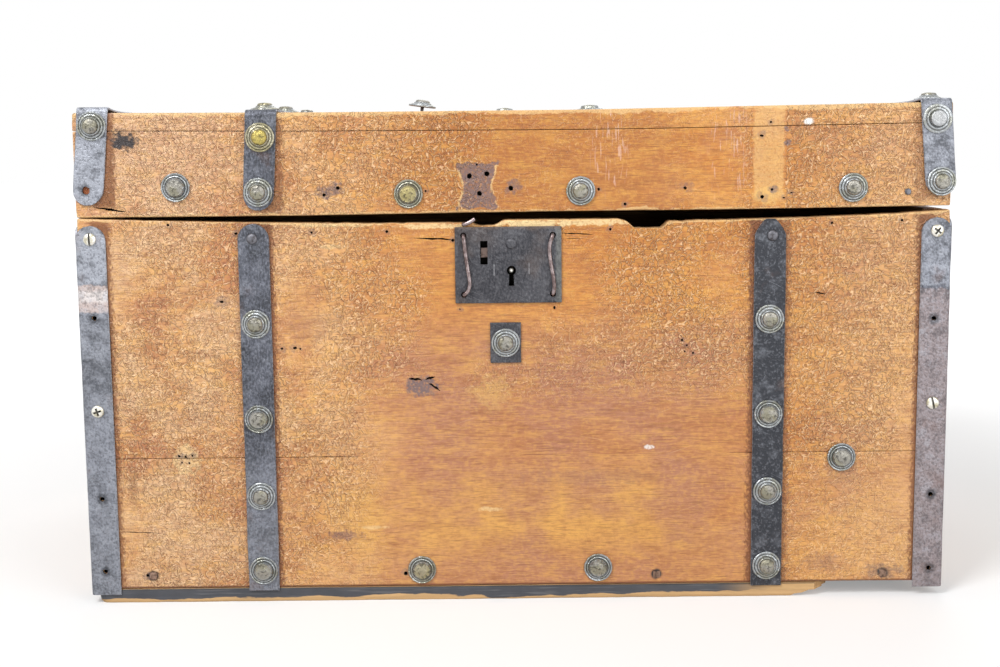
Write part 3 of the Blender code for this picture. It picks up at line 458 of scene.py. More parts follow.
@dataclass(frozen=True)
class VarnishedPine(Finish):
    """Pine under old varnish that has wrinkled, darkened beside the straps and worn off the edges, with
    painted highlights and shade on its wrinkles, painted glare towards its ends and painted shadow beside the
    straps.
    """

    grain: Grain = Grain.LENGTHWISE
    is_front: bool = False
    honey: Colour = tone(222, 158, 82)
    amber: Colour = tone(196, 124, 50)
    gold: Colour = tone(226, 170, 80)
    rosy: Colour = tone(184, 130, 106)
    pale: Colour = tone(232, 196, 156)
    bark: Colour = tone(156, 94, 46)
    umber: Colour = tone(112, 60, 28)
    varnish_and_shadow: Colour = tone(116, 64, 26)
    bare: Colour = tone(232, 194, 136)
    glint: Colour = tone(244, 204, 158)
    streak: Colour = tone(226, 184, 164)
    shift: float = 0.0005
    relief: float = 0.0007

    def fibres(
        self, brush: Brush, run: float, across: float, detail: float = 2.0, swirl: float = 0.0
    ) -> Field:
        """Noise that is stretched along the grain and differs from board to board.

        Args:
            brush: The material's brush.
            run: How many waves there are to a metre of grain.
            across: How many there are to a metre across it.
            detail: How many finer layers are added.
            swirl: How far it is twisted.

        Returns:
            The noise, from 0 to 1.
        """
        plank = brush.attribute("plank") * 9.0
        in_x, in_y = (run, across) if self.grain is Grain.LENGTHWISE else (across, run)
        return brush.clouds(
            1.0, detail, swirl, (brush.x * in_x + plank, brush.y * in_y + plank, brush.z * across)
        )

    def ridges(self, brush: Brush, shift: float, bend: Field, broken: Field) -> Field:
        """Short crossing ridges of shrunken varnish.

        Args:
            brush: The material's brush.
            shift: How far towards the light they are read.
            bend: Noise that bends them.
            broken: Noise that ends them.

        Returns:
            The ridges' height.
        """
        x, y, z = brush.x + shift, brush.y - shift, brush.z - shift
        worms = brush.clouds(200.0, 1.0, 0.4, (x + bend, y + bend, z - bend))
        more = brush.clouds(265.0, 1.0, 0.3, (x * 1.2 - bend + 3.0, y + 1.0, z * 0.85 + bend))
        return brush.most(
            brush.band(worms, 0.5, 0.080, 0.0) * brush.step(broken, 0.38, 0.50),
            brush.band(more, 0.5, 0.075, 0.0) * brush.step(broken, 0.60, 0.48),
        )

    def wrinkles(self, brush: Brush) -> tuple[Field, Field, Field]:
        """The wrinkled varnish, whose ridges take a painted highlight on the side towards the light and
        painted shade on the other side.

        Args:
            brush: The material's brush.

        Returns:
            The ridges' height, their slope towards the light, and how wrinkled each region is.
        """
        x, z = brush.x, brush.z
        bend = (brush.clouds(95.0, 1.0) - 0.5) * 0.005
        broken = brush.clouds(125.0, 1.0)
        ridge, beyond = (self.ridges(brush, shift, bend, broken) for shift in (0.0, self.shift))
        region = brush.step(brush.clouds(11.0, 3.0), 0.34, 0.60) * 0.75 + 0.25
        if self.is_front:
            on_lid = brush.step(z, RIM_Z, RIM_Z + 0.004)
            calm = brush.most(
                brush.band(x, 0.040, 0.180, 0.120) * brush.step(z, 0.195, 0.140),
                brush.band(x, 0.005, 0.095, 0.045) * brush.step(z, 0.300, 0.285) * 0.50,
                brush.band(x, 0.075, 0.120, 0.080) * on_lid * 0.75,
                brush.step(x, 0.195, 0.215) * brush.step(z, 0.130, 0.090) * 0.5,
                brush.band(x, GHOST_X, 0.0135, 0.0115) * on_lid * 0.80,
            )
            region = region + brush.band(abs(x), 0.230, 0.075, 0.030) * 0.50
            region = region + brush.step(z, RIM_Z - 0.002, RIM_Z) * 0.20
            region = brush.math("MINIMUM", region, 1.0) * (1.0 - calm * 0.88)
        return ridge * region, (ridge - beyond) * region, region

    def front_zones(self, brush: Brush, warm: Field) -> None:
        """Colours the front's regions.

        Args:
            brush: The material's brush.
            warm: Noise that mottles them.
        """
        x, z = brush.x, brush.z
        on_lid = brush.step(z, RIM_Z, RIM_Z + 0.002)
        lid_middle = brush.band(x, 0.02, 0.14, 0.06) * on_lid
        middle = brush.band(x, 0.04, 0.19, 0.08) * brush.step(z, 0.235, 0.190)
        foot = brush.band(z, 0.066, 0.040, 0.012) * brush.band(x, -0.010, 0.17, 0.10)
        upper = brush.band(x, 0.02, 0.17, 0.10) * brush.step(z, 0.190, 0.235) * brush.step(z, RIM_Z, 0.285)
        brush.coat(
            (middle * (brush.step(warm, 0.36, 0.58) * 0.40 + 0.45), self.rosy),
            (lid_middle * 0.80, self.amber),
            (lid_middle * 0.42 + middle * 0.26, self.bark),
            (brush.step(x, -0.16, -0.24) * on_lid * 0.18, self.streak),
            (foot * (brush.step(warm, 0.62, 0.42) * 0.40 + 0.15), self.gold),
            (upper * 0.60, self.amber),
        )

    def colour(self, brush: Brush) -> None:
        """Lays on blotches, growth rings and fine flecks of the wood under its varnish, painted glare towards
        its ends, and painted highlights on streaks of the lid.

        Args:
            brush: The material's brush.
        """
        x, y, z = brush.x, brush.y, brush.z
        blotch = self.fibres(brush, 7.0, 13.0, 4.0, 0.4)
        brush.hue = brush.blend(brush.step(blotch, 0.36, 0.62), self.amber, self.honey)
        warm = brush.clouds(24.0, 5.0)
        # Painted glare: pale is laid over the left part in patches and over the right end.
        leftward = brush.step(x, 0.05, -0.30)
        painted_glare = leftward * brush.step(warm, 0.66, 0.42) * 0.75 + brush.step(x, 0.18, 0.30) * 0.38
        brush.flecks((warm, 0.50, 0.64, leftward * 0.30 + 0.30, self.rosy))
        brush.coat((painted_glare, self.pale))
        if self.is_front:
            self.front_zones(brush, warm)
        rings = brush.math("FRACT", self.fibres(brush, 1.6, 24.0, 1.0, 0.3) * 11.0)
        specks, smears = brush.clouds(300.0, 3.0), self.fibres(brush, 42.0, 130.0, 6.0)
        flecks, lines = self.fibres(brush, 150.0, 760.0, 4.0), self.fibres(brush, 60.0, 1300.0)
        brush.flecks(
            (rings, 0.45, 0.92, brush.step(rings, 1.0, 0.94) * 0.08, self.umber),
            (specks, 0.52, 0.62, 0.22, self.gold), (specks, 0.47, 0.37, 0.18, self.bark),
            (smears, 0.50, 0.68, 0.30, self.bark), (smears, 0.50, 0.32, 0.30, self.gold),
            (flecks, 0.51, 0.62, 0.32, self.bark), (flecks, 0.48, 0.37, 0.24, self.gold),
            (lines, 0.56, 0.66, 0.36, self.umber),
        )
        if self.is_front:
            # Painted highlights on vertical streaks of wrinkled varnish on the lid.
            streak_glints = brush.clouds(1.0, 2.0, 0.4, (x * 620.0, y, z * 75.0))
            spread = brush.math("MINIMUM", abs(x - 0.0715), abs(x - 0.1590))
            share = brush.step(spread, 0.018, 0.006) * brush.step(y, FRONT_Y + 0.004, FRONT_Y + 0.002)
            share = share * brush.step(z, RIM_Z + 0.006, RIM_Z + 0.030) * 0.60
            brush.flecks((streak_glints, 0.58, 0.66, share, self.streak))
        brush.coat((brush.scratches(0.34, -0.21) * 0.28, self.pale))

    def front_marks(self, brush: Brush) -> None:
        """Lays on what only the front has: dark varnish and painted shadow by the straps, stains, ghosts and
        scars.

        Args:
            brush: The material's brush.
        """
        x, y, z = brush.x, brush.y, brush.z
        on_front = brush.step(y, FRONT_Y + 0.004, FRONT_Y + 0.002)
        on_top = brush.step(z, LID_TOP_Z - 0.002, LID_TOP_Z - 0.001)
        ragged = brush.clouds(210.0, 4.0) - 0.5
        patchy = brush.step(brush.clouds(520.0, 3.0), 0.30, 0.55) * 0.6 + 0.4
        shade_fray = (brush.clouds(520.0, 4.0, where=(x, y, z * 0.6)) - 0.5) * 2.2
        brush.coat(*((shade.mask(brush, shade_fray) * on_front, self.varnish_and_shadow) for shade in STRAP_SHADES))
        strip = brush.step(abs(x - GHOST_X) + ragged * 0.006, 0.0122, 0.0100)
        strip = strip * brush.step(z, 0.3010, 0.3060) * patchy * 0.50
        inside = abs(x + 0.0264) - (abs(z - 0.3150) * 0.32 + 0.0098) + ragged * 0.008
        level = brush.step(abs(z - 0.3157) + ragged * 0.008, 0.0176, 0.0164)
        chipped = brush.band(inside, 0.0006, 0.0013, 0.0004) * level * brush.step(ragged, -0.06, 0.06)
        brush.coat(
            (strip * brush.most(on_front, on_top), MarkKind.GHOST.value),
            (chipped * on_front * 0.7, self.bare),
            (brush.step(inside, 0.0006, -0.0006) * level * patchy * 0.85 * on_front, MarkKind.PURPLE.value),
        )
        rings = [Mark(MarkKind.BURNT, *spot, 0.0046, 0.0040, 1.0, 0.8) for spot in CUT_NAILS]
        halos = [
            Mark(MarkKind.PURPLE, hole.x, hole.z, hole.radius * 2.2, hole.radius * 1.9, 0.45, 3.6)
            for hole in NAIL_HOLES
        ]
        for mark in (*FRONT_MARKS, *rings, *halos):
            spot = mark.mask(brush, ragged)
            spot = spot if mark.strength == 1.0 else spot * patchy
            brush.coat((spot * on_front, mark.kind.value))

    def lay(self, brush: Brush) -> None:
        """Lays the finish on.

        Args:
            brush: The material's brush.
        """
        ridge, slope, region = self.wrinkles(brush)
        self.colour(brush)
        dirt = brush.clouds(330.0)
        # The last two rows are painted shade on each ridge's side away from the light and a painted highlight
        # on its side towards it.
        brush.flecks(
            (dirt, 0.48, 0.62, region * 0.22, self.bark),
            (slope, -0.05, -0.75, 0.52, self.umber),
            (slope, 0.05, 0.75, 0.62, self.glint),
        )
        if self.is_front:
            self.front_marks(brush)
        worn = brush.step(brush.attribute("worn") + (brush.clouds(190.0, 3.0) - 0.5) * 1.2, 0.50, 0.80)
        brush.coat((worn * 0.65, self.bare))
        # Painted shade along the joint above the bottom board.
        if self.is_front:
            brush.flecks((brush.z, FOOT_Z + 0.0022, FOOT_Z + 0.0007, 0.85, self.umber))
        rough = brush.most(0.46 - ridge * 0.12 + (dirt - 0.5) * 0.2, worn * 0.8)
        normal = brush.bump(ridge + self.fibres(brush, 40.0, 900.0) * 0.16, self.relief)
        brush.finish(Roughness=rough, Normal=normal, Coat_Weight=0.25, Coat_Roughness=0.25)


@dataclass(frozen=True)
class BarePine(Finish):
    """Unvarnished pine, browned by age inside the trunk and under it."""

    fresh: Colour = tone(208, 168, 116)
    aged: Colour = tone(156, 112, 70)
    grime: Colour = tone(92, 66, 46)

    def grown(self, brush: Brush) -> Field:
        """Lays on the wood's colour.

        Args:
            brush: The material's brush.

        Returns:
            The fibres' height.
        """
        x, y, z = brush.x, brush.y, brush.z
        plank, turned = brush.attribute("plank") * 9.0, brush.attribute("crosswise")
        along = (x * (turned * 690.0 + 10.0) + plank, y * (700.0 - turned * 690.0), z * 700.0 + plank)
        wide = (x * (turned * 28.0 + 2.0) + plank, y * (30.0 - turned * 28.0), z * 30.0)
        fibre = brush.clouds(1.0, 3.0, where=along)
        rings = brush.math("FRACT", brush.clouds(1.0, where=wide) * 9.0)
        brush.hue = brush.blend(brush.step(fibre, 0.35, 0.65) * 0.55 + 0.25, self.aged, self.fresh)
        brush.flecks(
            (rings, 0.5, 0.95, brush.step(rings, 1.0, 0.96) * 0.22, self.grime),
            (brush.clouds(13.0, 4.0), 0.52, 0.74, 0.35, self.grime),
        )
        return fibre

    def lay(self, brush: Brush) -> None:
        """Lays the finish on."""
        fibre = self.grown(brush)
        brush.finish(Roughness=brush.step(fibre, 0.0, 1.0) * 0.2 + 0.7, Normal=brush.bump(fibre, 0.0004, 0.6))


@dataclass(frozen=True)
class PaintedBottom(BarePine):
    """Bare pine whose front edge was painted like the irons, and is rubbed bare along the ground, with
    painted shade along its joint with the front.
    """

    coat: Colour = tone(80, 82, 88)
    dark_coat: Colour = tone(52, 54, 60)
    scuff: Colour = tone(150, 150, 150)
    rubbed: Colour = tone(222, 184, 132)
    joint_shade: Colour = tone(34, 30, 28)

    def lay(self, brush: Brush) -> None:
        """Lays the finish on.

        Args:
            brush: The material's brush.
        """
        fibre = self.grown(brush)
        x, y, z = brush.x, brush.y, brush.z
        ragged = brush.clouds(1.0, 4.0, where=(x * 34.0, y * 60.0, z * 90.0)) - 0.5
        ragged = ragged + (brush.clouds(1.0, where=(x * 9.0, y, z)) - 0.5) * 0.9
        level = z + ragged * 0.0090 - brush.step(x, 0.05, 0.22) * 0.0040
        front = brush.step(y, FRONT_Y + 0.004, FRONT_Y + 0.0025)
        painted = brush.step(level, 0.0026, 0.0034) * front * brush.step(x, 0.205, 0.150)
        scuffed = brush.step(brush.clouds(1.0, where=(x * 30.0, y * 50.0, z * 700.0)), 0.60, 0.72) * 0.20
        shade = brush.blend(brush.clouds(70.0, 4.0), self.coat, self.dark_coat)
        brush.coat((front * 0.5, self.rubbed), (painted, brush.blend(scuffed, shade, self.scuff)))
        # Painted shade along the joint under the front board.
        brush.flecks((z, FOOT_Z - 0.0024, FOOT_Z - 0.0009, front * 0.8, self.joint_shade))
        brush.finish(Roughness=0.8 - painted * 0.3, Normal=brush.bump(fibre, 0.0005, 0.6))


@dataclass(frozen=True)
class StrapIron(Finish):
    """Blackened sheet iron, worn blue-grey, with rust in places, rubbed edges that also carry a painted
    highlight, and painted sheen on the outer irons.
    """

    body: Colour = tone(108, 111, 122)
    deep: Colour = tone(50, 52, 58)
    rubbed: Colour = tone(176, 180, 190)
    rust: Colour = tone(124, 92, 78)
    pink: Colour = tone(158, 144, 144)
    tan: Colour = tone(200, 182, 176)
    shine: Colour = tone(226, 220, 218)
    roughness: float = 0.46
    is_front: bool = False

    def zones(self, brush: Brush) -> None:
        """Lays on what differs from iron to iron along the front, painted sheen and a painted highlight among
        it.

        Args:
            brush: The material's brush.
        """
        x, z = brush.x, brush.z
        ragged = brush.clouds(190.0, 3.0) - 0.5
        level = z + ragged * 0.006
        outer = brush.step(abs(x), 0.290, 0.292)
        below = brush.step(z, RIM_Z + 0.002, RIM_Z)
        left, right = (brush.step(x, 0.0, side * 0.05) * outer for side in (-1, 1))
        corner = left * below
        pale = brush.step(level, 0.2445, 0.2475) * corner + (1.0 - below) * outer * 0.7
        # On the outer irons, lightening towards the rubbed colour is painted sheen, and the tan band with its
        # shine line at 0.2345 is a painted highlight on the bulge.
        brush.coat(
            (left * 0.42, self.rubbed),
            (brush.band(level, 0.1760, 0.0150, 0.0100) * corner * 0.45, self.deep),
            (pale * 0.60, self.rubbed),
            (brush.band(level, 0.2345, 0.0112, 0.0092) * corner * 0.92, self.tan),
            (brush.band(level, 0.2365, 0.0065, 0.0025) * corner * 0.75, self.shine),
            (brush.step(level, 0.2370, 0.2345) * right * 0.75, self.pink),
            (brush.step(level, 0.2370, 0.2395) * right * below * 0.38, self.rubbed),
            (brush.band(x, INNER_STRAP_X[0], 0.016, 0.014) * brush.step(z, 0.130, 0.080) * 0.25, self.rubbed),
            (brush.band(x, INNER_STRAP_X[1], 0.016, 0.014) * below * 0.98, self.deep),
        )
        for spot in IRON_HOLES:
            brush.flecks((brush.away(*spot) + ragged * 0.002, 0.0056, 0.0026, 0.75, self.deep))

    def lay(self, brush: Brush) -> None:
        """Lays the finish on.

        Args:
            brush: The material's brush.
        """
        x, y, z = brush.x, brush.y, brush.z
        mottle = brush.clouds(330.0, 5.0, where=(x * 2.4, y, z))
        tint = brush.step(brush.clouds(48.0, 4.0), 0.36, 0.62) * 0.50 + brush.step(mottle, 0.40, 0.60) * 0.50
        brush.hue = brush.blend(tint, self.deep, self.body)
        if self.is_front:
            self.zones(brush)
        blot, pits = brush.clouds(125.0, 6.0), brush.clouds(620.0, 5.0)
        wild = brush.step(abs(x), 0.260, 0.290) * (brush.step(z, 0.17, 0.25) * 0.40 + 0.25) + 0.30
        brush.flecks(
            (blot, 0.50, 0.66, wild * 0.42, self.rubbed), (blot, 0.48, 0.36, wild * 0.50, self.deep),
            (pits, 0.53, 0.64, wild * 0.22 + 0.08, self.rubbed), (pits, 0.48, 0.38, 0.38, self.deep),
            (brush.clouds(40.0, 5.0), 0.58, 0.74, 0.30, self.rust),
        )
        brush.coat((brush.scratches(2.6, -0.5) * 0.40, self.rubbed))
        # Edges are lightened by rubbed wear together with a painted highlight.
        brush.flecks((brush.attribute("worn") + (pits - 0.5) * 1.2, 0.55, 0.95, 0.55, self.rubbed))
        normal = brush.bump(mottle * 0.35 + pits * 0.65, 0.0012, 0.8)
        brush.finish(Roughness=(mottle - 0.5) * 0.3 + self.roughness, Metallic=0.50, Normal=normal)


@dataclass(frozen=True)
class PlateIron(StrapIron):
    """The lock plate's iron: darker, with a brown wash, a pale margin, two bright scratches and painted shade
    over its left part.
    """

    is_front: bool = True
    margin: Colour = tone(132, 134, 128)
    scored: tuple[Spot, ...] = ((-0.0147, 0.2532), (0.0113, 0.2540))

    def zones(self, brush: Brush) -> None:
        """Lays on what differs from place to place on the plate.

        Args:
            brush: The material's brush.
        """
        x, z = brush.x, brush.z
        ragged = brush.clouds(160.0, 4.0) - 0.5
        wash = brush.step(z + ragged * 0.02, 0.262, 0.278) * 0.30
        # The second row is painted shade over the plate's left part.
        brush.flecks(
            (x + ragged * 0.02, -0.004, -0.026, wash, self.rust),
            (x, -0.022, -0.034, 0.35, self.deep),
            (x + ragged * 0.006, 0.0300, 0.0325, 0.45, self.margin),
            (z + ragged * 0.004, 0.2825, 0.2848, 0.6, self.rust),
        )
        for spot_x, spot_z in self.scored:
            length = brush.band(z, spot_z, 0.0048, 0.0036) * 0.8
            brush.flecks((abs(x - spot_x + ragged * 0.001), 0.0007, 0.0002, length, self.rubbed))


@dataclass(frozen=True)
class StudMetal(Finish):
    """Tinned studs, greenish in places, dulled in the hollows by dirt and painted shade, and rubbed bright on
    the crowns.
    """

    brim: Colour = tone(164, 168, 170)
    boss: Colour = tone(150, 147, 139)
    brass: Colour = tone(176, 160, 92)
    bright: Colour = tone(172, 175, 180)
    grime: Colour = tone(58, 56, 52)
    green: Colour = tone(128, 124, 92)

    def lay(self, brush: Brush) -> None:
        """Lays the finish on.

        Args:
            brush: The material's brush.
        """
        tint, hollow, boss = (brush.attribute(key) for key in ("tint", "hollow", "boss"))
        mottle = brush.clouds(420.0, 4.0, 0.5)
        brush.hue = brush.blend(boss, self.brim, self.boss)
        # The last row darkens the grooves with dirt and painted shade.
        brush.flecks(
            (brush.clouds(120.0, 3.0), 0.46, 0.60, 0.45, self.green),
            (tint, 0.55, 1.0, boss * 0.55 + 0.45, self.brass),
            (tint, 0.10, 0.0, boss * 0.6 + 0.2, self.bright),
            (mottle, 0.50, 0.66, (boss * 0.45 + 0.25) * brush.step(tint, 0.0, 0.12), self.grime),
            (hollow + (mottle - 0.5) * 0.8, 0.35, 0.9, 0.72, self.grime),
        )
        rough = (mottle - 0.5) * 0.4 + boss * 0.12 + 0.32
        brush.finish(Roughness=rough, Metallic=0.85, Normal=brush.bump(mottle, 0.0010, 0.8))


@dataclass(frozen=True)
class BrightMetal(Finish):
    """Metal that is plain but for tarnish, such as zinc, wire and bolts, with painted shade in the screw
    slots.
    """

    clean: Colour
    tarnish: Colour
    roughness: float = 0.38
    slot: Colour = tone(44, 38, 30)

    def lay(self, brush: Brush) -> None:
        """Lays the finish on.

        Args:
            brush: The material's brush.
        """
        mottle = brush.clouds(260.0, 4.0)
        brush.hue = brush.blend(brush.step(mottle, 0.42, 0.66), self.clean, self.tarnish)
        # Painted shade darkens the screw slots.
        brush.coat((brush.attribute("slot") * 0.85, self.slot))
        rough = (mottle - 0.5) * 0.4 + self.roughness
        brush.finish(Roughness=rough, Metallic=0.8, Normal=brush.bump(mottle, 0.0003, 0.4))


class Palette:
    """Every finish of the trunk, as finished materials."""

    def __init__(self) -> None:
        """Builds every material once."""
        self.front_pine = VarnishedPine("front_pine", is_front=True).paint()
        self.long_pine = VarnishedPine("long_pine").paint()
        self.end_pine = VarnishedPine("end_pine", Grain.CROSSWISE).paint()
        self.bare_pine = BarePine("inside_pine").paint()
        self.bottom_pine = PaintedBottom("bottom_pine").paint()
        self.front_iron = StrapIron("front_iron", is_front=True).paint()
        self.iron = StrapIron("plain_iron").paint()
        self.lock_iron = PlateIron(
            "plate_iron", tone(84, 84, 89), tone(46, 46, 52), tone(140, 140, 144), tone(104, 88, 78)
        ).paint()
        # Near-black finish: the lock case's own iron, and also the lining of the boards' nail holes and
        # splits as painted shade.
        self.soot = BrightMetal("case_soot", tone(40, 36, 34), tone(24, 22, 21), 0.75).paint()
        self.studs = StudMetal("stud_tin").paint()
        self.zinc = BrightMetal("screw_zinc", tone(238, 236, 228), tone(184, 176, 150)).paint()
        self.wire = BrightMetal("wire_steel", tone(158, 144, 144), tone(104, 88, 86), 0.30).paint()
        self.bolt = BrightMetal("bolt_steel", tone(110, 94, 88), tone(74, 60, 54), 0.5).paint()
        self.nail = BrightMetal("nail_iron", tone(112, 112, 118), tone(70, 66, 68), 0.5).paint()
        self.rusty = BrightMetal("cut_nail_iron", tone(150, 124, 108), tone(92, 72, 62), 0.7).paint()


def ripple(points: np.ndarray, size: float, seed: int) -> np.ndarray:
    """Smooth noise at each point.

    Args:
        points: Rows of X, Y and Z.
        size: Length of a wave in metres.
        seed: Which noise it is.

    Returns:
        A value from about -1 to 1 for each point.
    """
    shift = Vector((seed * 3.7, seed * 1.3, seed * 5.1))
    return np.array([noise.noise(Vector(point) / size + shift) for point in points])


def as_object(name: str, data: ID) -> Object:
    """Puts a mesh, a curve, a lamp or a camera into the scene at the origin.

    Args:
        name: Name of the object.
        data: What it shows.

    Returns:
        The object.
    """
    obj = bpy.data.objects.new(name, data)
    bpy.context.scene.collection.objects.link(obj)
    return obj


def mesh_of(name: str, shape: BMesh) -> Mesh:
    """Turns a finished shape into a mesh and frees it.

    Args:
        name: Name of the mesh.
        shape: The shape.

    Returns:
        The mesh.
    """
    mesh = bpy.data.meshes.new(name)
    shape.to_mesh(mesh)
    shape.free()
    return mesh


def finished(name: str, shape: BMesh, finish: Material) -> Object:
    """Makes an object of one finish from a shape.

    Args:
        name: Name of the object.
        shape: The shape, which is freed.
        finish: Its material.

    Returns:
        The object.
    """
    mesh = mesh_of(name, shape)
    mesh.materials.clear()
    mesh.materials.append(finish)
    return as_object(name, mesh)


def store(mesh: Mesh, name: str, domain: str, values: np.ndarray) -> None:
    """Gives a mesh a number at each of its points or faces."""
    mesh.attributes.new(name, "FLOAT", domain).data.foreach_set("value", values.astype(np.float32))


def settle(obj: Object) -> None:
    """Replaces an object's mesh by what its modifiers make of it.

    Args:
        obj: The object.
    """
    graph = bpy.context.evaluated_depsgraph_get()
    shown = obj.evaluated_get(graph)
    mesh = bpy.data.meshes.new_from_object(shown, preserve_all_data_layers=True, depsgraph=graph)
    obj.modifiers.clear()
    obj.data = mesh


def carve(obj: Object, cutter: BMesh, lining: Material) -> None:
    """Cuts a shape out of an object and lines the cut with a finish.

    Args:
        obj: The object that is cut.
        cutter: Closed shapes that are taken away.
        lining: Material of the cut faces.
    """
    bmesh.ops.recalc_face_normals(cutter, faces=cutter.faces)
    mesh = mesh_of("cutter", cutter)
    mesh.materials.append(lining)
    tool = as_object("cutter", mesh)
    cut = obj.modifiers.new("cut", "BOOLEAN")
    cut.operation = "DIFFERENCE"
    cut.solver = "EXACT"
    cut.material_mode = "TRANSFER"
    cut.object = tool
    settle(obj)
    bpy.data.objects.remove(tool)


def dress(obj: Object, body: str, nodes: Sequence[str] = ()) -> None:
    """Shades a finished piece and ties it to the frame.

    Args:
        obj: The piece.
        body: CAD body that it rides on.
        nodes: CAD nodes that it stands for.
    """
    obj.data.shade_smooth()
    obj.data.set_sharp_from_angle(angle=SMOOTH_ANGLE)
    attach(obj, body)
    if nodes:
        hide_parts(*nodes)
    LOG.info("%s rides on %s with %d faces", obj.name, body, len(obj.data.polygons))


def prism(shape: BMesh, ring: Sequence[Point], along: Point, taper: float = 1.0) -> None:
    """Adds a closed prism.

    Args:
        shape: The shape that it is added to.
        ring: The corners of one end.
        along: The way from that end to the other.
        taper: Size of the other end.
    """
    middle = sum((Vector(p) for p in ring), Vector()) / len(ring)
    near = [shape.verts.new(p) for p in ring]
    far = [shape.verts.new(middle + (Vector(p) - middle) * taper + Vector(along)) for p in ring]
    shape.faces.new(near)
    shape.faces.new(reversed(far))
    for i in range(len(ring)):
        j = (i + 1) % len(ring)
        shape.faces.new((near[j], near[i], far[i], far[j]))


def graded(low: float, high: float, step: float, fine: float = 0.0005) -> np.ndarray:
    """Lines across a face, close together at both edges and a step apart between.

    Args:
        low: The first line.
        high: The last line.
        step: Greatest distance between lines.
        fine: Distance between the first two.

    Returns:
        The places of the lines.
    """
    away, gap = [0.0], fine
    while gap < step and away[-1] + gap < (high - low) / 2:
        away.append(away[-1] + gap)
        gap *= 1.7
    count = max(2, round((high - low - 2 * away[-1]) / step) + 1)
    middle = np.linspace(low + away[-1], high - away[-1], count)
    ends = np.array(away)
    return np.unique(np.round(np.concatenate([low + ends, middle, high - ends]), 7))


def quads(index: np.ndarray) -> np.ndarray:
    """The faces between the rows and columns of a grid of corners."""
    ring = (index[:-1, :-1], index[1:, :-1], index[1:, 1:], index[:-1, 1:])
    return np.stack(ring, -1).reshape(-1, 4)


def lattice_box(lines: Sequence[np.ndarray]) -> tuple[np.ndarray, np.ndarray, np.ndarray]:
    """The closed surface of a box, ruled along three sets of lines.

    Args:
        lines: Places of the lines in X, Y and Z.

    Returns:
        The corners, the faces as rows of four corners, and the side that each face is on, as its place
        in SIDES.
    """
    counts = [len(line) for line in lines]
    index = np.arange(math.prod(counts)).reshape(counts)
    faces, sides = [], []
    for axis in range(3):
        for end in (0, 1):
            sheet = quads(np.take(index, -end, axis=axis))
            faces.append(sheet if (end == 1) != (axis == 1) else sheet[:, ::-1])
            sides.append(np.full(len(sheet), 2 * axis + end))
    used, corners = np.unique(np.concatenate(faces), return_inverse=True)
    places = np.unravel_index(used, counts)
    points = np.stack([line[place] for line, place in zip(lines, places)], -1)
    return points, corners.reshape(-1, 4), np.concatenate(sides)


SIDES = ("-x", "+x", "-y", "+y", "-z", "+z")
HANDS = ((-1, "left"), (1, "right"))
PROUD = 0.003  # how far in front of the front a cutter starts


@dataclass(frozen=True)
class NailHole:
    """An empty hole that a nail has left in the front."""

    x: float
    z: float
    radius: float
    tall: float = 1.0
    depth: float = 0.007
    taper: float = 0.55
    corners: int = 10

    def cut(self, shape: BMesh, seed: int) -> None:
        """Adds the hole's ragged cone to a cutter.

        Args:
            shape: The cutter.
            seed: Which ragged outline it has.
        """
        draw = random.Random(seed)
        ring = []
        for i in range(self.corners):
            angle = math.tau * i / self.corners
            radius = self.radius * draw.uniform(0.85, 1.15)
            x, z = self.x + radius * math.cos(angle), self.z + radius * self.tall * math.sin(angle)
            ring.append((x, FRONT_Y - PROUD, z))
        prism(shape, ring, (0, self.depth + PROUD, 0), self.taper)


@dataclass(frozen=True)
class Crack:
    """A split in the front, open in its middle and closed at its ends."""

    x0: float
    z0: float
    x1: float
    z1: float
    width: float
    depth: float = 0.005
    taper: float = 0.96
    steps: int = 9

    def cut(self, shape: BMesh, seed: int) -> None:
        """Adds the split's thin wedge to a cutter.

        Args:
            shape: The cutter.
            seed: Which ragged outline it has.
        """
        draw = random.Random(seed)
        upper, lower = [], []
        for i in range(self.steps + 1):
            share = i / self.steps
            half = self.width / 2 * (math.sin(math.pi * share) * draw.uniform(0.6, 1.2) + 0.06)
            x = self.x0 + (self.x1 - self.x0) * share
            z = self.z0 + (self.z1 - self.z0) * share + draw.uniform(-0.2, 0.2) * self.width
            upper.append((x, FRONT_Y - PROUD, z + half))
            lower.append((x, FRONT_Y - PROUD, z - half))
        prism(shape, lower + upper[::-1], (0, self.depth + PROUD, 0), self.taper)


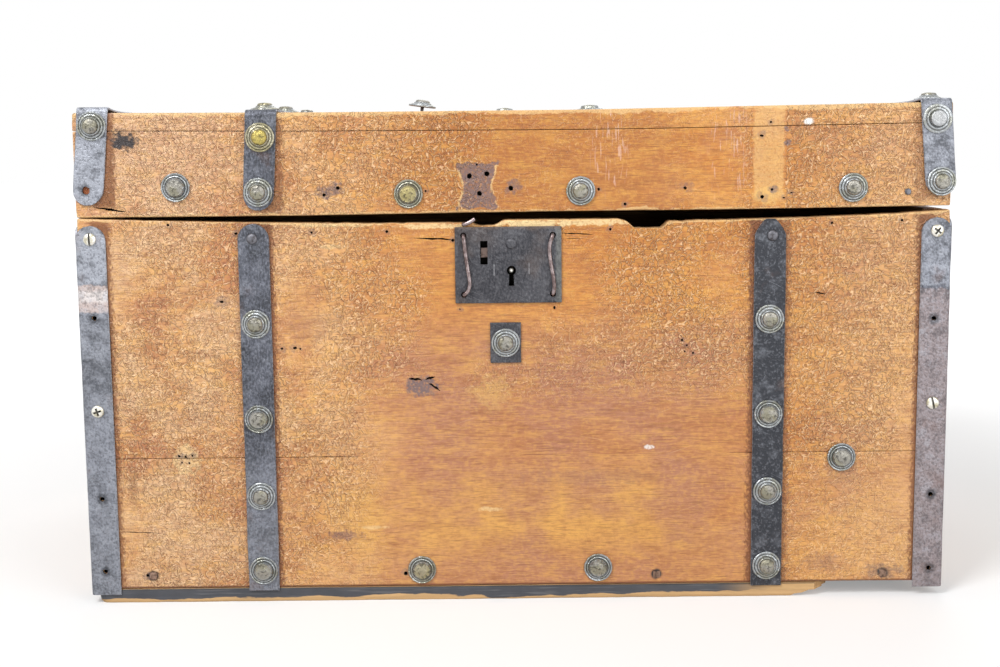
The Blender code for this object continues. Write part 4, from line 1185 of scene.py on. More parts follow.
NAIL_HOLES = tuple(NailHole(*row) for row in (
    (-0.0322, 0.3228, 0.0023), (-0.0194, 0.3244, 0.0022), (-0.0249, 0.3099, 0.0022),
    (-0.0266, 0.3311, 0.0009), (-0.0018, 0.3135, 0.0021), (-0.1293, 0.3150, 0.0017),
    (-0.1398, 0.3100, 0.0015), (0.1270, 0.3123, 0.0014), (0.1898, 0.3599, 0.0010),
    (0.1832, 0.3501, 0.0017, 0.6), (0.1913, 0.3106, 0.0012), (0.1840, 0.3053, 0.0016),
    (0.2055, 0.3080, 0.0012, 0.5), (0.2000, 0.3045, 0.0010, 0.6), (0.0827, 0.3010, 0.0012),
    (-0.2182, 0.2313, 0.0020, 0.6), (-0.2559, 0.2890, 0.0011), (-0.2058, 0.2821, 0.0013),
    (-0.1497, 0.2824, 0.0011), (-0.1743, 0.1956, 0.0014, 0.7), (-0.1645, 0.1960, 0.0017, 0.7),
    (-0.1605, 0.1952, 0.0009), (-0.0847, 0.0209, 0.0018), (-0.2822, 0.0213, 0.0014),
    (0.2361, 0.2854, 0.0011), (0.2880, 0.2870, 0.0011), (0.1255, 0.1990, 0.0011), (0.1290, 0.1950, 0.0009),
    (0.1338, 0.1891, 0.0010), (0.1275, 0.1905, 0.0008), (-0.2545, 0.1142, 0.0012),
    (-0.2497, 0.1137, 0.0011), (-0.2446, 0.1146, 0.0010), (-0.2525, 0.1092, 0.0008),
    (-0.2470, 0.1087, 0.0008), (-0.0452, 0.2755, 0.0013), (0.0632, 0.3121, 0.0012),
    (-0.0646, 0.3121, 0.0009), (-0.0940, 0.2825, 0.0013), (0.0718, 0.2825, 0.0012),
    (-0.0405, 0.2240, 0.0010, 0.5), (0.0300, 0.2245, 0.0010, 1.6),
))
SPLITS = tuple(Crack(*row) for row in (
    (-0.0800, 0.1722, -0.0690, 0.1708, 0.0024), (-0.0676, 0.1710, -0.0597, 0.1733, 0.0020),
    (-0.0650, 0.1684, -0.0560, 0.1622, 0.0024), (-0.3020, 0.0560, -0.2700, 0.0545, 0.0007),
    (-0.3108, 0.3029, -0.2860, 0.2990, 0.0016), (0.2235, 0.2340, 0.2330, 0.2325, 0.0010),
    (-0.0745, 0.2776, -0.0420, 0.2760, 0.0013), (0.0345, 0.2800, 0.0600, 0.2789, 0.0009),
    (0.0380, 0.2760, 0.0520, 0.2757, 0.0005), (-0.2990, 0.1120, -0.2540, 0.1142, 0.0006),
))


@dataclass
class WornBlock:
    """A block such as a board or a plate, drawn as a box whose edges are rounded by uneven wear."""

    node: str
    body: str
    finish: Material
    inner: Material
    inside: tuple[str, ...] = ()
    worn: dict[str, float] = field(default_factory=dict)  # by the two sides that meet, such as -x+z
    grain: Grain = Grain.LENGTHWISE
    slot: str = "varnished_pine"
    seed: int = 1
    arris: float = 0.0005
    step: float = 0.0035
    across: float = 0.011
    dent: float = 0.0003
    dent_wave: float = 0.060
    dent_rim: float = 0.01
    wear_reach: float = 0.005
    full_wear: float = 0.0016

    def lines(self, low: Vector, high: Vector) -> list[np.ndarray]:
        """The lines that the block's surface is ruled along.

        Args:
            low: The block's lowest corner.
            high: Its highest corner.

        Returns:
            The places of the lines in X, Y and Z.
        """
        steps = [self.across] * 3
        steps[self.grain.value] = self.step
        return [graded(low[axis], high[axis], steps[axis]) for axis in range(3)]

    def rounding(self, points: np.ndarray, gaps: np.ndarray) -> np.ndarray:
        """Radius of the edges at each point.

        Args:
            points: Points of the block.
            gaps: Distance from each point to each of the six sides.

        Returns:
            A radius for each point.
        """
        radius = np.full(len(points), self.arris)
        uneven = ripple(points, 0.028, self.seed) * 0.6 + ripple(points, 0.008, self.seed + 9) * 0.4
        for edge, wear in self.worn.items():
            away = np.hypot(*(gaps[:, SIDES.index(side)] for side in (edge[:2], edge[2:])))
            near = np.clip(1.6 - away / self.wear_reach, 0.0, 1.0)
            radius = np.maximum(radius, wear * near * np.clip(0.62 + 0.75 * uneven, 0.12, 1.2))
        return radius

    def shape(self, points: np.ndarray) -> np.ndarray:
        """Moves the points of a block that isn't a plain box; here none."""
        return points

    def cut(self, block: Object, low: Vector, high: Vector) -> None:
        """Cuts what is missing from the block; here nothing."""

    def build(self) -> None:
        """Builds and dresses the block."""
        low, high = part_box(self.node)
        points, faces, sides = lattice_box(self.lines(low, high))
        corners = np.array([low, high])
        gaps = np.stack([np.abs(points[:, a] - corners[e, a]) for a in range(3) for e in (0, 1)], -1)
        radius = self.rounding(points, gaps)
        core = np.clip(points, corners[0] + radius[:, None], corners[1] - radius[:, None])
        out = points - core
        out /= np.linalg.norm(out, axis=1)[:, None]
        soft = core + out * radius[:, None]
        hollow = np.clip(ripple(points, self.dent_wave, self.seed + 4) * 0.7 + 0.3, 0.0, 1.0)
        edge = np.sort(gaps, axis=1)[:, 1]
        soft -= out * (hollow * self.dent * np.clip(edge / self.dent_rim, 0, 1))[:, None]
        mesh = bpy.data.meshes.new(self.node)
        mesh.from_pydata(self.shape(soft).tolist(), [], faces.tolist())
        worn = np.clip(1.5 - edge / (1.5 * radius), 0, 1) * np.clip(radius / self.full_wear, 0, 1)
        store(mesh, "worn", "POINT", worn)
        store(mesh, "plank", "FACE", np.full(len(faces), random.Random(self.seed).random()))
        store(mesh, "crosswise", "FACE", np.full(len(faces), self.grain is Grain.CROSSWISE))
        mesh.materials.append(self.finish)
        mesh.materials.append(self.inner)
        bare = np.isin(sides, [SIDES.index(side) for side in self.inside]).astype(np.int32)
        mesh.polygons.foreach_set("material_index", bare)
        block = as_object(f"{self.node}_worn", mesh)
        self.cut(block, low, high)
        dress(block, self.body, [self.node])


@dataclass
class Board(WornBlock):
    """One board, with the nail holes and splits that lie in it."""

    scar: Union[Material, None] = None
    driven_r: float = 0.0019
    shut_side: str = ""
    shut_from: float = -0.135
    shut_to: float = 0.178
    shut_fade: float = 0.02
    shut_reach: float = 0.001

    def shut(self, x: np.ndarray) -> np.ndarray:
        """Where varnish has filled the front's seam, as a share from 0 to 1."""
        left, right = (x - self.shut_from) / self.shut_fade, (self.shut_to - x) / self.shut_fade
        return np.clip(left, 0, 1) * np.clip(right, 0, 1)

    def rounding(self, points: np.ndarray, gaps: np.ndarray) -> np.ndarray:
        """Radius of the edges at each point, which is next to nothing where the seam is filled.

        Args:
            points: Points of the board.
            gaps: Distance from each point to each of the six sides.

        Returns:
            A radius for each point.
        """
        radius = super().rounding(points, gaps)
        if self.shut_side:
            near = np.clip(2 - gaps[:, SIDES.index(self.shut_side)] / self.shut_reach, 0, 1)
            radius = radius * (1 - 0.9 * near * self.shut(points[:, 0]))
        return radius

    def cut(self, block: Object, low: Vector, high: Vector) -> None:
        """Cuts the nail holes, and then the splits, that lie in the board's front face.

        Args:
            block: The board that is cut.
            low: The board's lowest corner.
            high: Its highest corner.
        """
        if low.y > FRONT_Y + 0.001:
            return
        driven = [NailHole(x, z, self.driven_r) for x, z in IRON_HOLES[:-1]]
        holes = [hole for hole in (*NAIL_HOLES, *driven) if low.z < hole.z < high.z]
        splits = [split for split in SPLITS if low.z < split.z0 < high.z]
        for scars in filter(None, (holes, splits)):
            cutter = bmesh.new()
            for number, scar in enumerate(scars):
                scar.cut(cutter, self.seed * 100 + number)
            carve(block, cutter, self.scar)


def ramp(x: np.ndarray, start: float, length: float) -> np.ndarray:
    """Rises from 0 at the start to 1 over a length, which may be negative."""
    return np.clip((x - start) / length, 0, 1)


def lid_lift(x: np.ndarray, y: np.ndarray, share: Union[np.ndarray, float] = 1.0) -> np.ndarray:
    """How far the lid has warped upwards, most at its right front corner.

    Args:
        x: Places along the lid.
        y: Places from its front to its back.
        share: Height in the lid, from 0 at its lower edge to 1 at its top.

    Returns:
        The lift at each place.
    """
    low = 0.0013 * ramp(x, -0.16, 0.19) + 0.0012 * ramp(x, 0.15, 0.17)
    high = 0.0030 * ramp(x, 0.05, 0.2735) + 0.0012 * ramp(x, -0.14, -0.18)
    return ramp(y, BACK_Y, FRONT_Y - BACK_Y) * (low * (1 - share) + high * share)


@dataclass
class LidBoard(Board):
    """A board of the lid, which has warped."""

    seam_reach: float = 0.012

    def shape(self, points: np.ndarray) -> np.ndarray:
        """Lifts the board as the lid has warped, and lets the front seam sag a little.

        Args:
            points: The block's points, which are moved in place.

        Returns:
            The same points.
        """
        x, y, z = points.T.copy()
        share = ramp(z, LID_LOW_Z, LID_TOP_Z - LID_LOW_Z)
        near = np.clip(1 - np.abs(z - LID_SEAM_Z) / self.seam_reach, 0, 1) * ramp(y, FRONT_Y + 0.015, -0.006)
        sag = 0.0011 + 0.0020 * ramp(x, -0.30, 0.40)
        points[:, 2] = z + lid_lift(x, y, share) - sag * near
        return points


@dataclass
class DishedBoard(Board):
    """The front's upper board, worn hollow and notched along its top, with the lock let into it."""

    dish_depth: float = 0.006
    dish_x: float = 0.060
    dish_power: float = 3.0
    # middle, width and depth of a notch, a dip and a lip that stands up
    notches: tuple[Point, ...] = ((0.100, 0.021, 0.0055), (-0.0205, 0.012, 0.0024), (0.0365, 0.085, -0.0017))
    slope: float = 0.005
    bend_height: float = 0.030
    chips: float = 0.0010
    wire_room: float = 0.0006
    wire_depth: float = 0.009

    def drop(self, x: np.ndarray) -> np.ndarray:
        """How far the worn top lies below the rim.

        Args:
            x: Places along the board.

        Returns:
            The depth at each place.
        """
        side = np.where(x > self.dish_x, HALF_W - self.dish_x, HALF_W + self.dish_x)
        share = np.minimum(np.abs(x - self.dish_x) / side, 1.0)
        depth = self.dish_depth * (1 - share**self.dish_power)
        for middle, width, most in self.notches:
            depth += most * np.clip(1 - (np.abs(x - middle) - width / 2) / self.slope, 0, 1)
        return depth

    def shape(self, points: np.ndarray) -> np.ndarray:
        """Draws the top of the board down to its worn edge.

        Args:
            points: The block's points, which are moved in place.

        Returns:
            The same points.
        """
        x, z = points[:, 0], points[:, 2]
        share = np.clip((z - RIM_Z + self.bend_height) / self.bend_height, 0, 1)
        along = np.stack([x, np.full(len(x), 0.3), np.full(len(x), 0.3)], -1)
        chipped = np.clip(ripple(along, 0.011, 3) + ripple(along, 0.004, 5) * 0.5 - 0.1, 0, 1) * self.chips
        inland = np.clip((HALF_W - np.abs(x)) / 0.05, 0, 1)
        filled = np.clip(1 - (z - SEAM_Z - GAP) / self.shut_reach, 0, 1) * self.shut(x) * GAP * 0.95
        points[:, 2] = z - (self.drop(x) + chipped * inland) * share**2 - filled
        return points

    def cut(self, block: Object, low: Vector, high: Vector) -> None:
        """Cuts the scars and the pocket that the lock case sits in.

        Args:
            block: The board that is cut.
            low: The board's lowest corner.
            high: Its highest corner.
        """
        super().cut(block, low, high)
        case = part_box("lock_case")
        pocket = bmesh.new()
        ring = [(case[i > 0].x + GAP * i, FRONT_Y - PROUD, case[j > 0].z + GAP * j) for i, j in SQUARE]
        prism(pocket, ring, (0, case[1].y + GAP - FRONT_Y + PROUD, 0))
        for x, z in LockPlate.wire_spots():
            NailHole(x, z, LockPlate.wire_hole + self.wire_room, depth=self.wire_depth).cut(pocket, self.seed)
        carve(block, pocket, self.inner)


@dataclass
class BrokenBoard(Board):
    """The front bottom board, whose right front corner has broken away."""

    break_length: float = 0.092
    break_depth: float = 0.045
    splinter: float = 0.012
    fray: float = 0.0022
    spacing: float = 0.004
    past: float = 0.01
    # the torn face beside the break, in X and Z from the break's foot, and the way it runs in
    torn: tuple[Spot, ...] = (
        (-0.024, -0.002), (0.040, -0.002), (0.040, 0.0072), (0.004, 0.0064),
        (0.000, 0.0052), (-0.006, 0.0046), (-0.011, 0.0026), (-0.017, 0.0018),
    )
    torn_way: Point = (0.010, 0.026, 0.0)

    def cut(self, block: Object, low: Vector, high: Vector) -> None:
        """Breaks the corner off along a splintered line.

        Args:
            block: The board that is cut.
            low: The board's lowest corner.
            high: Its highest corner.
        """
        draw = random.Random(self.seed)
        start, depth = high.x - self.break_length, self.break_depth
        line = [
            (start, low.y - self.past),
            (start, low.y),
            (start + self.splinter, low.y + depth / 3),
            (start + self.splinter / 2, low.y + depth * 2 / 3),
            (start + 2 * self.splinter, low.y + depth),
            (high.x, low.y + depth),
            (high.x + self.past, low.y + depth),
        ]
        edge = []
        for (x0, y0), (x1, y1) in zip(line, line[1:]):
            count = max(2, round(math.hypot(x1 - x0, y1 - y0) / self.spacing))
            for i in range(count):
                share = i / count
                fray = draw.uniform(0.0, self.fray) if i else 0.0
                edge.append((x0 + (x1 - x0) * share + fray, y0 + (y1 - y0) * share - fray * 0.5))
        edge += [line[-1], (high.x + self.past, low.y - self.past)]
        broken = [(x, y, low.z - 0.002) for x, y in edge]
        torn = [(start + x, low.y - 0.004, low.z + z) for x, z in self.torn]
        for ring, way in ((broken, (0, 0, high.z - low.z + 0.004)), (torn, self.torn_way)):
            piece = bmesh.new()
            prism(piece, ring, way)
            carve(block, piece, self.inner)


@dataclass
class Woodwork:
    """Every board of the chest and the lid."""

    palette: Palette
    soft: float = 0.0012
    rubbed: float = 0.0022
    foot: float = 0.0026
    ragged: float = 0.0030
    battered: float = 0.0060
    # each end's name, and the sides of its boards that face inwards and outwards
    ends: tuple[tuple[str, str, str], ...] = (("left", "+x", "-x"), ("right", "-x", "+x"))

    def build(self) -> None:
        """Builds the walls, the bottom and the lid, board by board."""
        for number, board in enumerate(self.walls() + self.bottom() + self.lid()):
            board.seed = number + 1
            # Holes and splits are lined with the near-black finish as painted shade.
            board.scar = self.palette.soot
            board.build()

    def board(
        self, kind: type[Board], name: str, pine: str, inside: str, worn: dict[str, float], **sizes: object
    ) -> Board:
        """Describes one board.

        Args:
            kind: Its class.
            name: Its name.
            pine: The palette's name of its finish.
            inside: Its bare sides, with spaces between.
            worn: How far its edges are worn.
            sizes: What else it is given.

        Returns:
            The board.
        """
        body, finish = "lid" if name.startswith("lid") else "chest", getattr(self.palette, pine)
        sides = tuple(inside.split())
        return kind(f"{name}_board", body, finish, self.palette.bare_pine, sides, worn, **sizes)

    def walls(self) -> list[Board]:
        """Describes the four walls.

        Returns:
            Their boards.
        """
        front, back = (dict.fromkeys((f"-x{way}", f"+x{way}"), self.soft) for way in ("-y", "+y"))
        rim = dict.fromkeys(("-y+z", "+y+z"), self.rubbed)
        foot, top = {"-y-z": self.soft}, dict(step=0.0022, across=0.007)
        boards = [
            self.board(Board, "front_lower", "front_pine", "+y", front | foot, shut_side="+z"),
            self.board(DishedBoard, "front_upper", "front_pine", "+y +z", front | rim, shut_side="-z", **top),
            self.board(Board, "back_lower", "long_pine", "-y", back),
            self.board(Board, "back_upper", "long_pine", "-y", back | rim),
        ]
        for word, inner, outer in self.ends:
            for row, edges in (("lower", ()), ("upper", (f"{outer}+z", f"{inner}+z"))):
                wear = dict.fromkeys(edges, self.rubbed)
                name = f"{word}_end_{row}"
                boards.append(self.board(Board, name, "end_pine", inner, wear, grain=Grain.CROSSWISE))
        return boards

    def bottom(self) -> list[Board]:
        """Describes the bottom.

        Returns:
            Its two boards.
        """
        front = {"-y-z": self.rubbed, "-x-z": self.ragged, "-x-y": self.battered, "-y+z": self.foot}
        rear = {"+y-z": self.ragged, "-x-z": self.soft, "+x-z": self.soft}
        return [
            self.board(BrokenBoard, "bottom_front", "bottom_pine", "+z", front, slot="bare_pine"),
            self.board(Board, "bottom_rear", "bottom_pine", "+z", rear, slot="bare_pine"),
        ]

    def lid(self) -> list[Board]:
        """Describes the lid.

        Returns:
            The two top boards and the rim under them.
        """
        top = dict.fromkeys(("-x+z", "+x+z"), self.rubbed)
        front, back = (dict.fromkeys((f"-x{way}", f"+x{way}"), self.soft) for way in ("-y", "+y"))
        boards = [
            self.board(LidBoard, "lid_top_front", "front_pine", "-z", top | {"-y+z": self.ragged}),
            self.board(LidBoard, "lid_top_rear", "front_pine", "-z", top | {"+y+z": self.ragged}),
            self.board(LidBoard, "lid_front", "front_pine", "+y -z", front | {"-y-z": self.rubbed}),
            self.board(LidBoard, "lid_back", "long_pine", "-y -z", back | {"+y-z": self.rubbed}),
        ]
        for word, inner, outer in self.ends:
            name, wear = f"lid_{word}_end", {f"{outer}-z": self.rubbed}
            boards.append(self.board(LidBoard, name, "end_pine", f"{inner} -z", wear, grain=Grain.CROSSWISE))
        return boards


def sheet_solid(outer: np.ndarray, inner: np.ndarray) -> tuple[list, list]:
    """A closed sheet between two grids of points that match.

    Args:
        outer: Points of the outer face, as rows and columns.
        inner: Points of the inner face.

    Returns:
        The corners and the faces.
    """
    rows, columns = outer.shape[:2]
    count = rows * columns
    points = np.concatenate([outer.reshape(-1, 3), inner.reshape(-1, 3)])
    index = np.arange(count).reshape(rows, columns)
    face = quads(index)
    rim = np.concatenate([index[0, :-1], index[:-1, -1], index[-1, :0:-1], index[:0:-1, 0]])
    after = np.roll(rim, -1)
    edge = np.stack([rim, after, after + count, rim + count], -1)
    return points.tolist(), np.concatenate([face, face[:, ::-1] + count, edge]).tolist()


def border(rows: int, columns: int) -> np.ndarray:
    """A grid of 0 with 1 all round its border."""
    return np.pad(np.zeros((rows - 2, columns - 2)), 1, constant_values=1.0)


@dataclass
class Strap:
    """A strip of sheet iron with softened, slightly uneven edges."""

    node: str
    body: str
    finish: Material
    seed: int
    lining: Material
    holes: Sequence[NailHole] = ()
    bevel: float = 0.0005
    dent: float = 0.00035
    uneven: float = 0.0003
    shares: tuple[float, ...] = (-1.0, -0.955, -0.6, -0.2, 0.2, 0.6, 0.955, 1.0)

    def build(self, middle: np.ndarray, out: np.ndarray, half: np.ndarray) -> None:
        """Builds a strip along a line, with its width in X.

        Args:
            middle: Points of the line along the strip's inner face.
            out: The way out of the face at each point, of length 1.
            half: Half the strip's width at each point.
        """
        wander = ripple(middle, 0.025, self.seed)[:, None] * self.uneven
        reach = np.array(self.shares)[None, :] * (half[:, None] + wander)
        inner = middle[:, None, :] + np.array((1.0, 0.0, 0.0)) * reach[:, :, None]
        bumps = ripple(inner.reshape(-1, 3), 0.014, self.seed + 3).reshape(reach.shape)
        lift = STRAP_T - np.clip(bumps, 0, 1) * self.dent - border(*reach.shape) * self.bevel
        self.close(inner + out[:, None, :] * lift[:, :, None], inner)

    def close(self, outer: np.ndarray, inner: np.ndarray) -> None:
        """Makes the strip from its two faces, cuts its holes and dresses it.

        Args:
            outer: Points of the outer face.
            inner: Points of the inner face.
        """
        points, faces = sheet_solid(outer, inner)
        name = f"{self.node}_iron"
        mesh = bpy.data.meshes.new(name)
        mesh.from_pydata(points, [], faces)
        store(mesh, "worn", "POINT", np.tile(border(*outer.shape[:2]).ravel(), 2))
        mesh.materials.append(self.finish)
        shape = bmesh.new()
        shape.from_mesh(mesh)
        bmesh.ops.recalc_face_normals(shape, faces=shape.faces)
        shape.to_mesh(mesh)
        shape.free()
        strip = as_object(name, mesh)
        if self.holes:
            cutter = bmesh.new()
            for hole in self.holes:
                hole.cut(cutter, self.seed)
            carve(strip, cutter, self.lining)
        dress(strip, self.body, [self.node])


class EndShape(Enum):
    """How the end of a strap was cut."""

    ROUND = 1
    CLIPPED = 2
    SQUARE = 3


def end_width(away: np.ndarray, half: float, kind: EndShape) -> np.ndarray:
    """Half width of a strap near its end.

    Args:
        away: Distances from the end.
        half: Half the full width.
        kind: How the end was cut.

    Returns:
        Half the width at each distance.
    """
    if kind is EndShape.SQUARE:
        return np.full(len(away), half)
    if kind is EndShape.CLIPPED:
        return half * np.clip(0.26 + 0.74 * (away / (0.95 * half)) ** 0.72, 0, 1)
    share = np.clip(1 - away / half, 0, 1)
    return half * np.sqrt(np.clip(1 - share**2, 0.03, 1))


@dataclass
class BodyStraps:
    """The irons on the chest: two straps on the front and an angle iron round each corner."""

    palette: Palette
    leg: float = 0.0227
    bend: float = 0.0026
    spacing: float = 0.004
    hole: float = 0.0021
    hole_depth: float = 0.006
    dent: float = 0.0004

    def build(self) -> None:
        """Builds the six irons."""
        self.front_strap("front_strap_inner_left", EndShape.ROUND, 30)
        self.front_strap("front_strap_inner_right", EndShape.CLIPPED, 31)
        for seed, (side, word) in zip((40, 42), HANDS):
            self.corner_iron(f"front_strap_outer_{word}", side, -1, seed)
            self.corner_iron(f"back_strap_{word}", side, 1, seed + 1)

    def front_strap(self, node: str, top: EndShape, seed: int) -> None:
        """Builds one flat strap on the front.

        Args:
            node: The CAD node that it stands for.
            top: How its upper end was cut.
            seed: Which dents it has.
        """
        low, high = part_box(node)
        levels = graded(low.z, high.z, self.spacing, 0.0004)
        count = len(levels)
        middle = np.stack([np.full(count, (low.x + high.x) / 2), np.full(count, FRONT_Y - GAP), levels], -1)
        width = end_width(high.z - levels, (high.x - low.x) / 2, top)
        strap = Strap(node, "chest", self.palette.front_iron, seed, self.palette.nail)
        strap.build(middle, np.tile(OUT_FRONT, (count, 1)), width)

    def fold(self, place: float, side: int, way: int) -> tuple[np.ndarray, np.ndarray]:
        """Where a point of an angle iron lies when the flat strip is folded round its corner.

        Args:
            place: Distance from the corner, below 0 on the front or back leg and above 0 on the end's.
            side: -1 at the left end, 1 at the right.
            way: -1 at the front, 1 at the back.

        Returns:
            The point of the outer face in X and Y, and the way out there.
        """
        wall = BACK_Y if way > 0 else FRONT_Y
        corner = np.array([side * (HALF_W + GAP + STRAP_T), wall + way * (GAP + STRAP_T)])
        quarter = self.bend * math.pi / 4
        centre = corner - np.array([side, way]) * self.bend
        turn = np.clip(place / quarter, -1, 1) * math.pi / 4 + math.pi / 4
        out = np.array([side * math.sin(turn), way * math.cos(turn)])
        rest = max(abs(place) - quarter, 0.0)
        along = np.array([-side * rest, 0.0]) if place < 0 else np.array([0.0, -way * rest])
        return centre + out * self.bend + along, out

    def corner_iron(self, node: str, side: int, way: int, seed: int) -> None:
        """Builds one angle iron.

        Args:
            node: The CAD node that it stands for.
            side: -1 at the left end, 1 at the right.
            way: -1 at the front, 1 at the back.
            seed: Which dents it has.
        """
        low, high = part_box(node)
        reach = self.leg - self.bend + self.bend * math.pi / 4
        half_leg = self.leg / 2
        shoulder = high.z - half_leg
        fine = graded(0.0, reach, self.spacing, 0.0006)
        places = np.concatenate([-fine[::-1], fine[1:]])
        shares = graded(0.0, 1.0, self.spacing / (high.z - low.z), 0.0015)
        outer = np.zeros((len(shares), len(places), 3))
        inner = np.zeros_like(outer)
        for j, place in enumerate(places):
            spot, out = self.fold(place, side, way)
            away = np.clip((abs(place) - half_leg + self.bend * 0.2) / half_leg, -1, 1)
            top = shoulder + half_leg * math.sqrt(max(1 - away**2, 0.0))
            outer[:, j, :2] = spot
            outer[:, j, 2] = low.z + (top - low.z) * shares
            inner[:, j] = outer[:, j] - np.array([*out, 0.0]) * STRAP_T
        bumps = ripple(outer.reshape(-1, 3), 0.016, seed).reshape(outer.shape[:2])
        sink = np.clip(bumps, 0, 1) * self.dent + border(*bumps.shape) * Strap.bevel
        outer += (inner - outer) * (sink / STRAP_T)[:, :, None]
        spots = [(x, z) for x, z in IRON_HOLES if way < 0 and x * side > 0 and z < RIM_Z]
        holes = [NailHole(x, z, self.hole, depth=self.hole_depth) for x, z in spots]
        finish = self.palette.front_iron if way < 0 else self.palette.iron
        Strap(node, "chest", finish, seed, self.palette.nail, holes).close(outer, inner)


@dataclass
class LidStraps:
    """The three straps that rise up the lid's front, cross its top and turn down behind."""

    palette: Palette
    width: float = 0.0228
    bend: float = 0.0028
    bend_steps: int = 6
    back_leg: float = 0.024
    spacing: float = 0.004
    fine: float = 0.0004
    rusty_hole: float = 0.0031
    hole_depth: float = 0.006
    buckle_reach: float = 0.045
    buckle_height: float = 0.010
    # how far each strap's foot strays outwards, its foot's height, and how far it stands off the lid's
    # top where it turns over the front
    straps: tuple[tuple[str, float, float, float], ...] = (
        ("lid_strap_outer_left", -0.0065, 0.0091, 0.0028),
        ("lid_strap_inner_left", -0.0041, 0.0041, 0.0004),
        ("lid_strap_outer_right", 0.0055, 0.0101, 0.0014),
    )

    def build(self) -> None:
        """Builds the three straps."""
        for seed, (x, (node, lean, foot, buckle)) in enumerate(zip(LID_STRAP_X, self.straps), 60):
            self.strap(node, x, lean, LID_LOW_Z + foot, buckle, seed)

    def turn(self, place: float, way: int) -> list[tuple[float, ...]]:
        """The bend at the front or the back.

        Args:
            place: Where the strap runs before the bend, in Y.
            way: -1 at the front, 1 at the back.

        Returns:
            Rows of Y and Z, and of the way out in Y and Z.
        """
        rows = []
        for i in range(1, self.bend_steps):
            angle = math.pi / 2 * i / self.bend_steps
            y = place - way * self.bend * (1 - math.cos(angle))
            z = LID_TOP_Z + GAP - self.bend * (1 - math.sin(angle))
            rows.append((y, z, way * math.cos(angle), math.sin(angle)))
        return rows

    def route(self, foot_z: float) -> np.ndarray:
        """The line of a strap from its foot over the lid to its back end.

        Args:
            foot_z: Height of the foot.

        Returns:
            Rows of Y and Z, and of the way out in Y and Z.
        """
        face, back, top = FRONT_Y - GAP, BACK_Y + GAP, LID_TOP_Z + GAP
        rise = graded(foot_z, top - self.bend, self.spacing, self.fine)
        over = np.arange(face + self.bend, back - self.bend, self.spacing * 2)
        fall = graded(LID_TOP_Z - self.back_leg, top - self.bend, self.spacing, self.fine)[::-1]
        rows = [(face, z, -1.0, 0.0) for z in rise] + self.turn(face, -1)
        rows += [(y, top, 0.0, 1.0) for y in over] + self.turn(back, 1)[::-1]
        return np.array(rows + [(back, z, 1.0, 0.0) for z in fall])

    def strap(self, node: str, x: float, lean: float, foot_z: float, buckle: float, seed: int) -> None:
        """Builds one strap.

        Args:
            node: The CAD node that it stands for.
            x: Its middle on the lid's top.
            lean: How far its foot strays.
            foot_z: Height of its foot.
            buckle: How far it stands off the lid at its front bend.
            seed: Which dents it has.
        """
        route = self.route(foot_z)
        y, z = route[:, 0], route[:, 1]
        on_front = y < FRONT_Y + self.bend
        stray = lean * (LID_TOP_Z - z) / (LID_TOP_Z - foot_z)
        stray = np.where(on_front & (z <= LID_TOP_Z), stray, 0.0)
        behind = ramp(y, FRONT_Y, self.buckle_reach)
        above = np.clip((z - LID_TOP_Z + self.buckle_height) / self.buckle_height, 0, 1)
        share = ramp(z, foot_z, LID_TOP_Z - foot_z)
        lift = lid_lift(np.full(len(y), x), y) * np.where(on_front, share, 1.0)
        lift += buckle * above**2 * (1 - behind) ** 2
        middle = np.stack([x + stray, y, z + lift], -1)
        out = np.stack([np.zeros(len(y)), route[:, 2], route[:, 3]], -1)
        steps = np.linalg.norm(np.diff(route[:, :2], axis=0), axis=1)
        walked = np.concatenate([[0.0], np.cumsum(steps)])
        ends = [end_width(away, self.width / 2, EndShape.ROUND) for away in (walked, walked[-1] - walked)]
        rusty = NailHole(*IRON_HOLES[-1], self.rusty_hole, depth=self.hole_depth)
        holes = [rusty] if node == "lid_strap_outer_left" else []
        strap = Strap(node, "lid", self.palette.front_iron, seed, self.palette.nail, holes)
        strap.build(middle, out, np.minimum(*ends))


Head = tuple[NodeTree, float, float, int]
HEAD_SIZES = (("Radius", "Float"), ("Height", "Float"), ("Sides", "Int"))


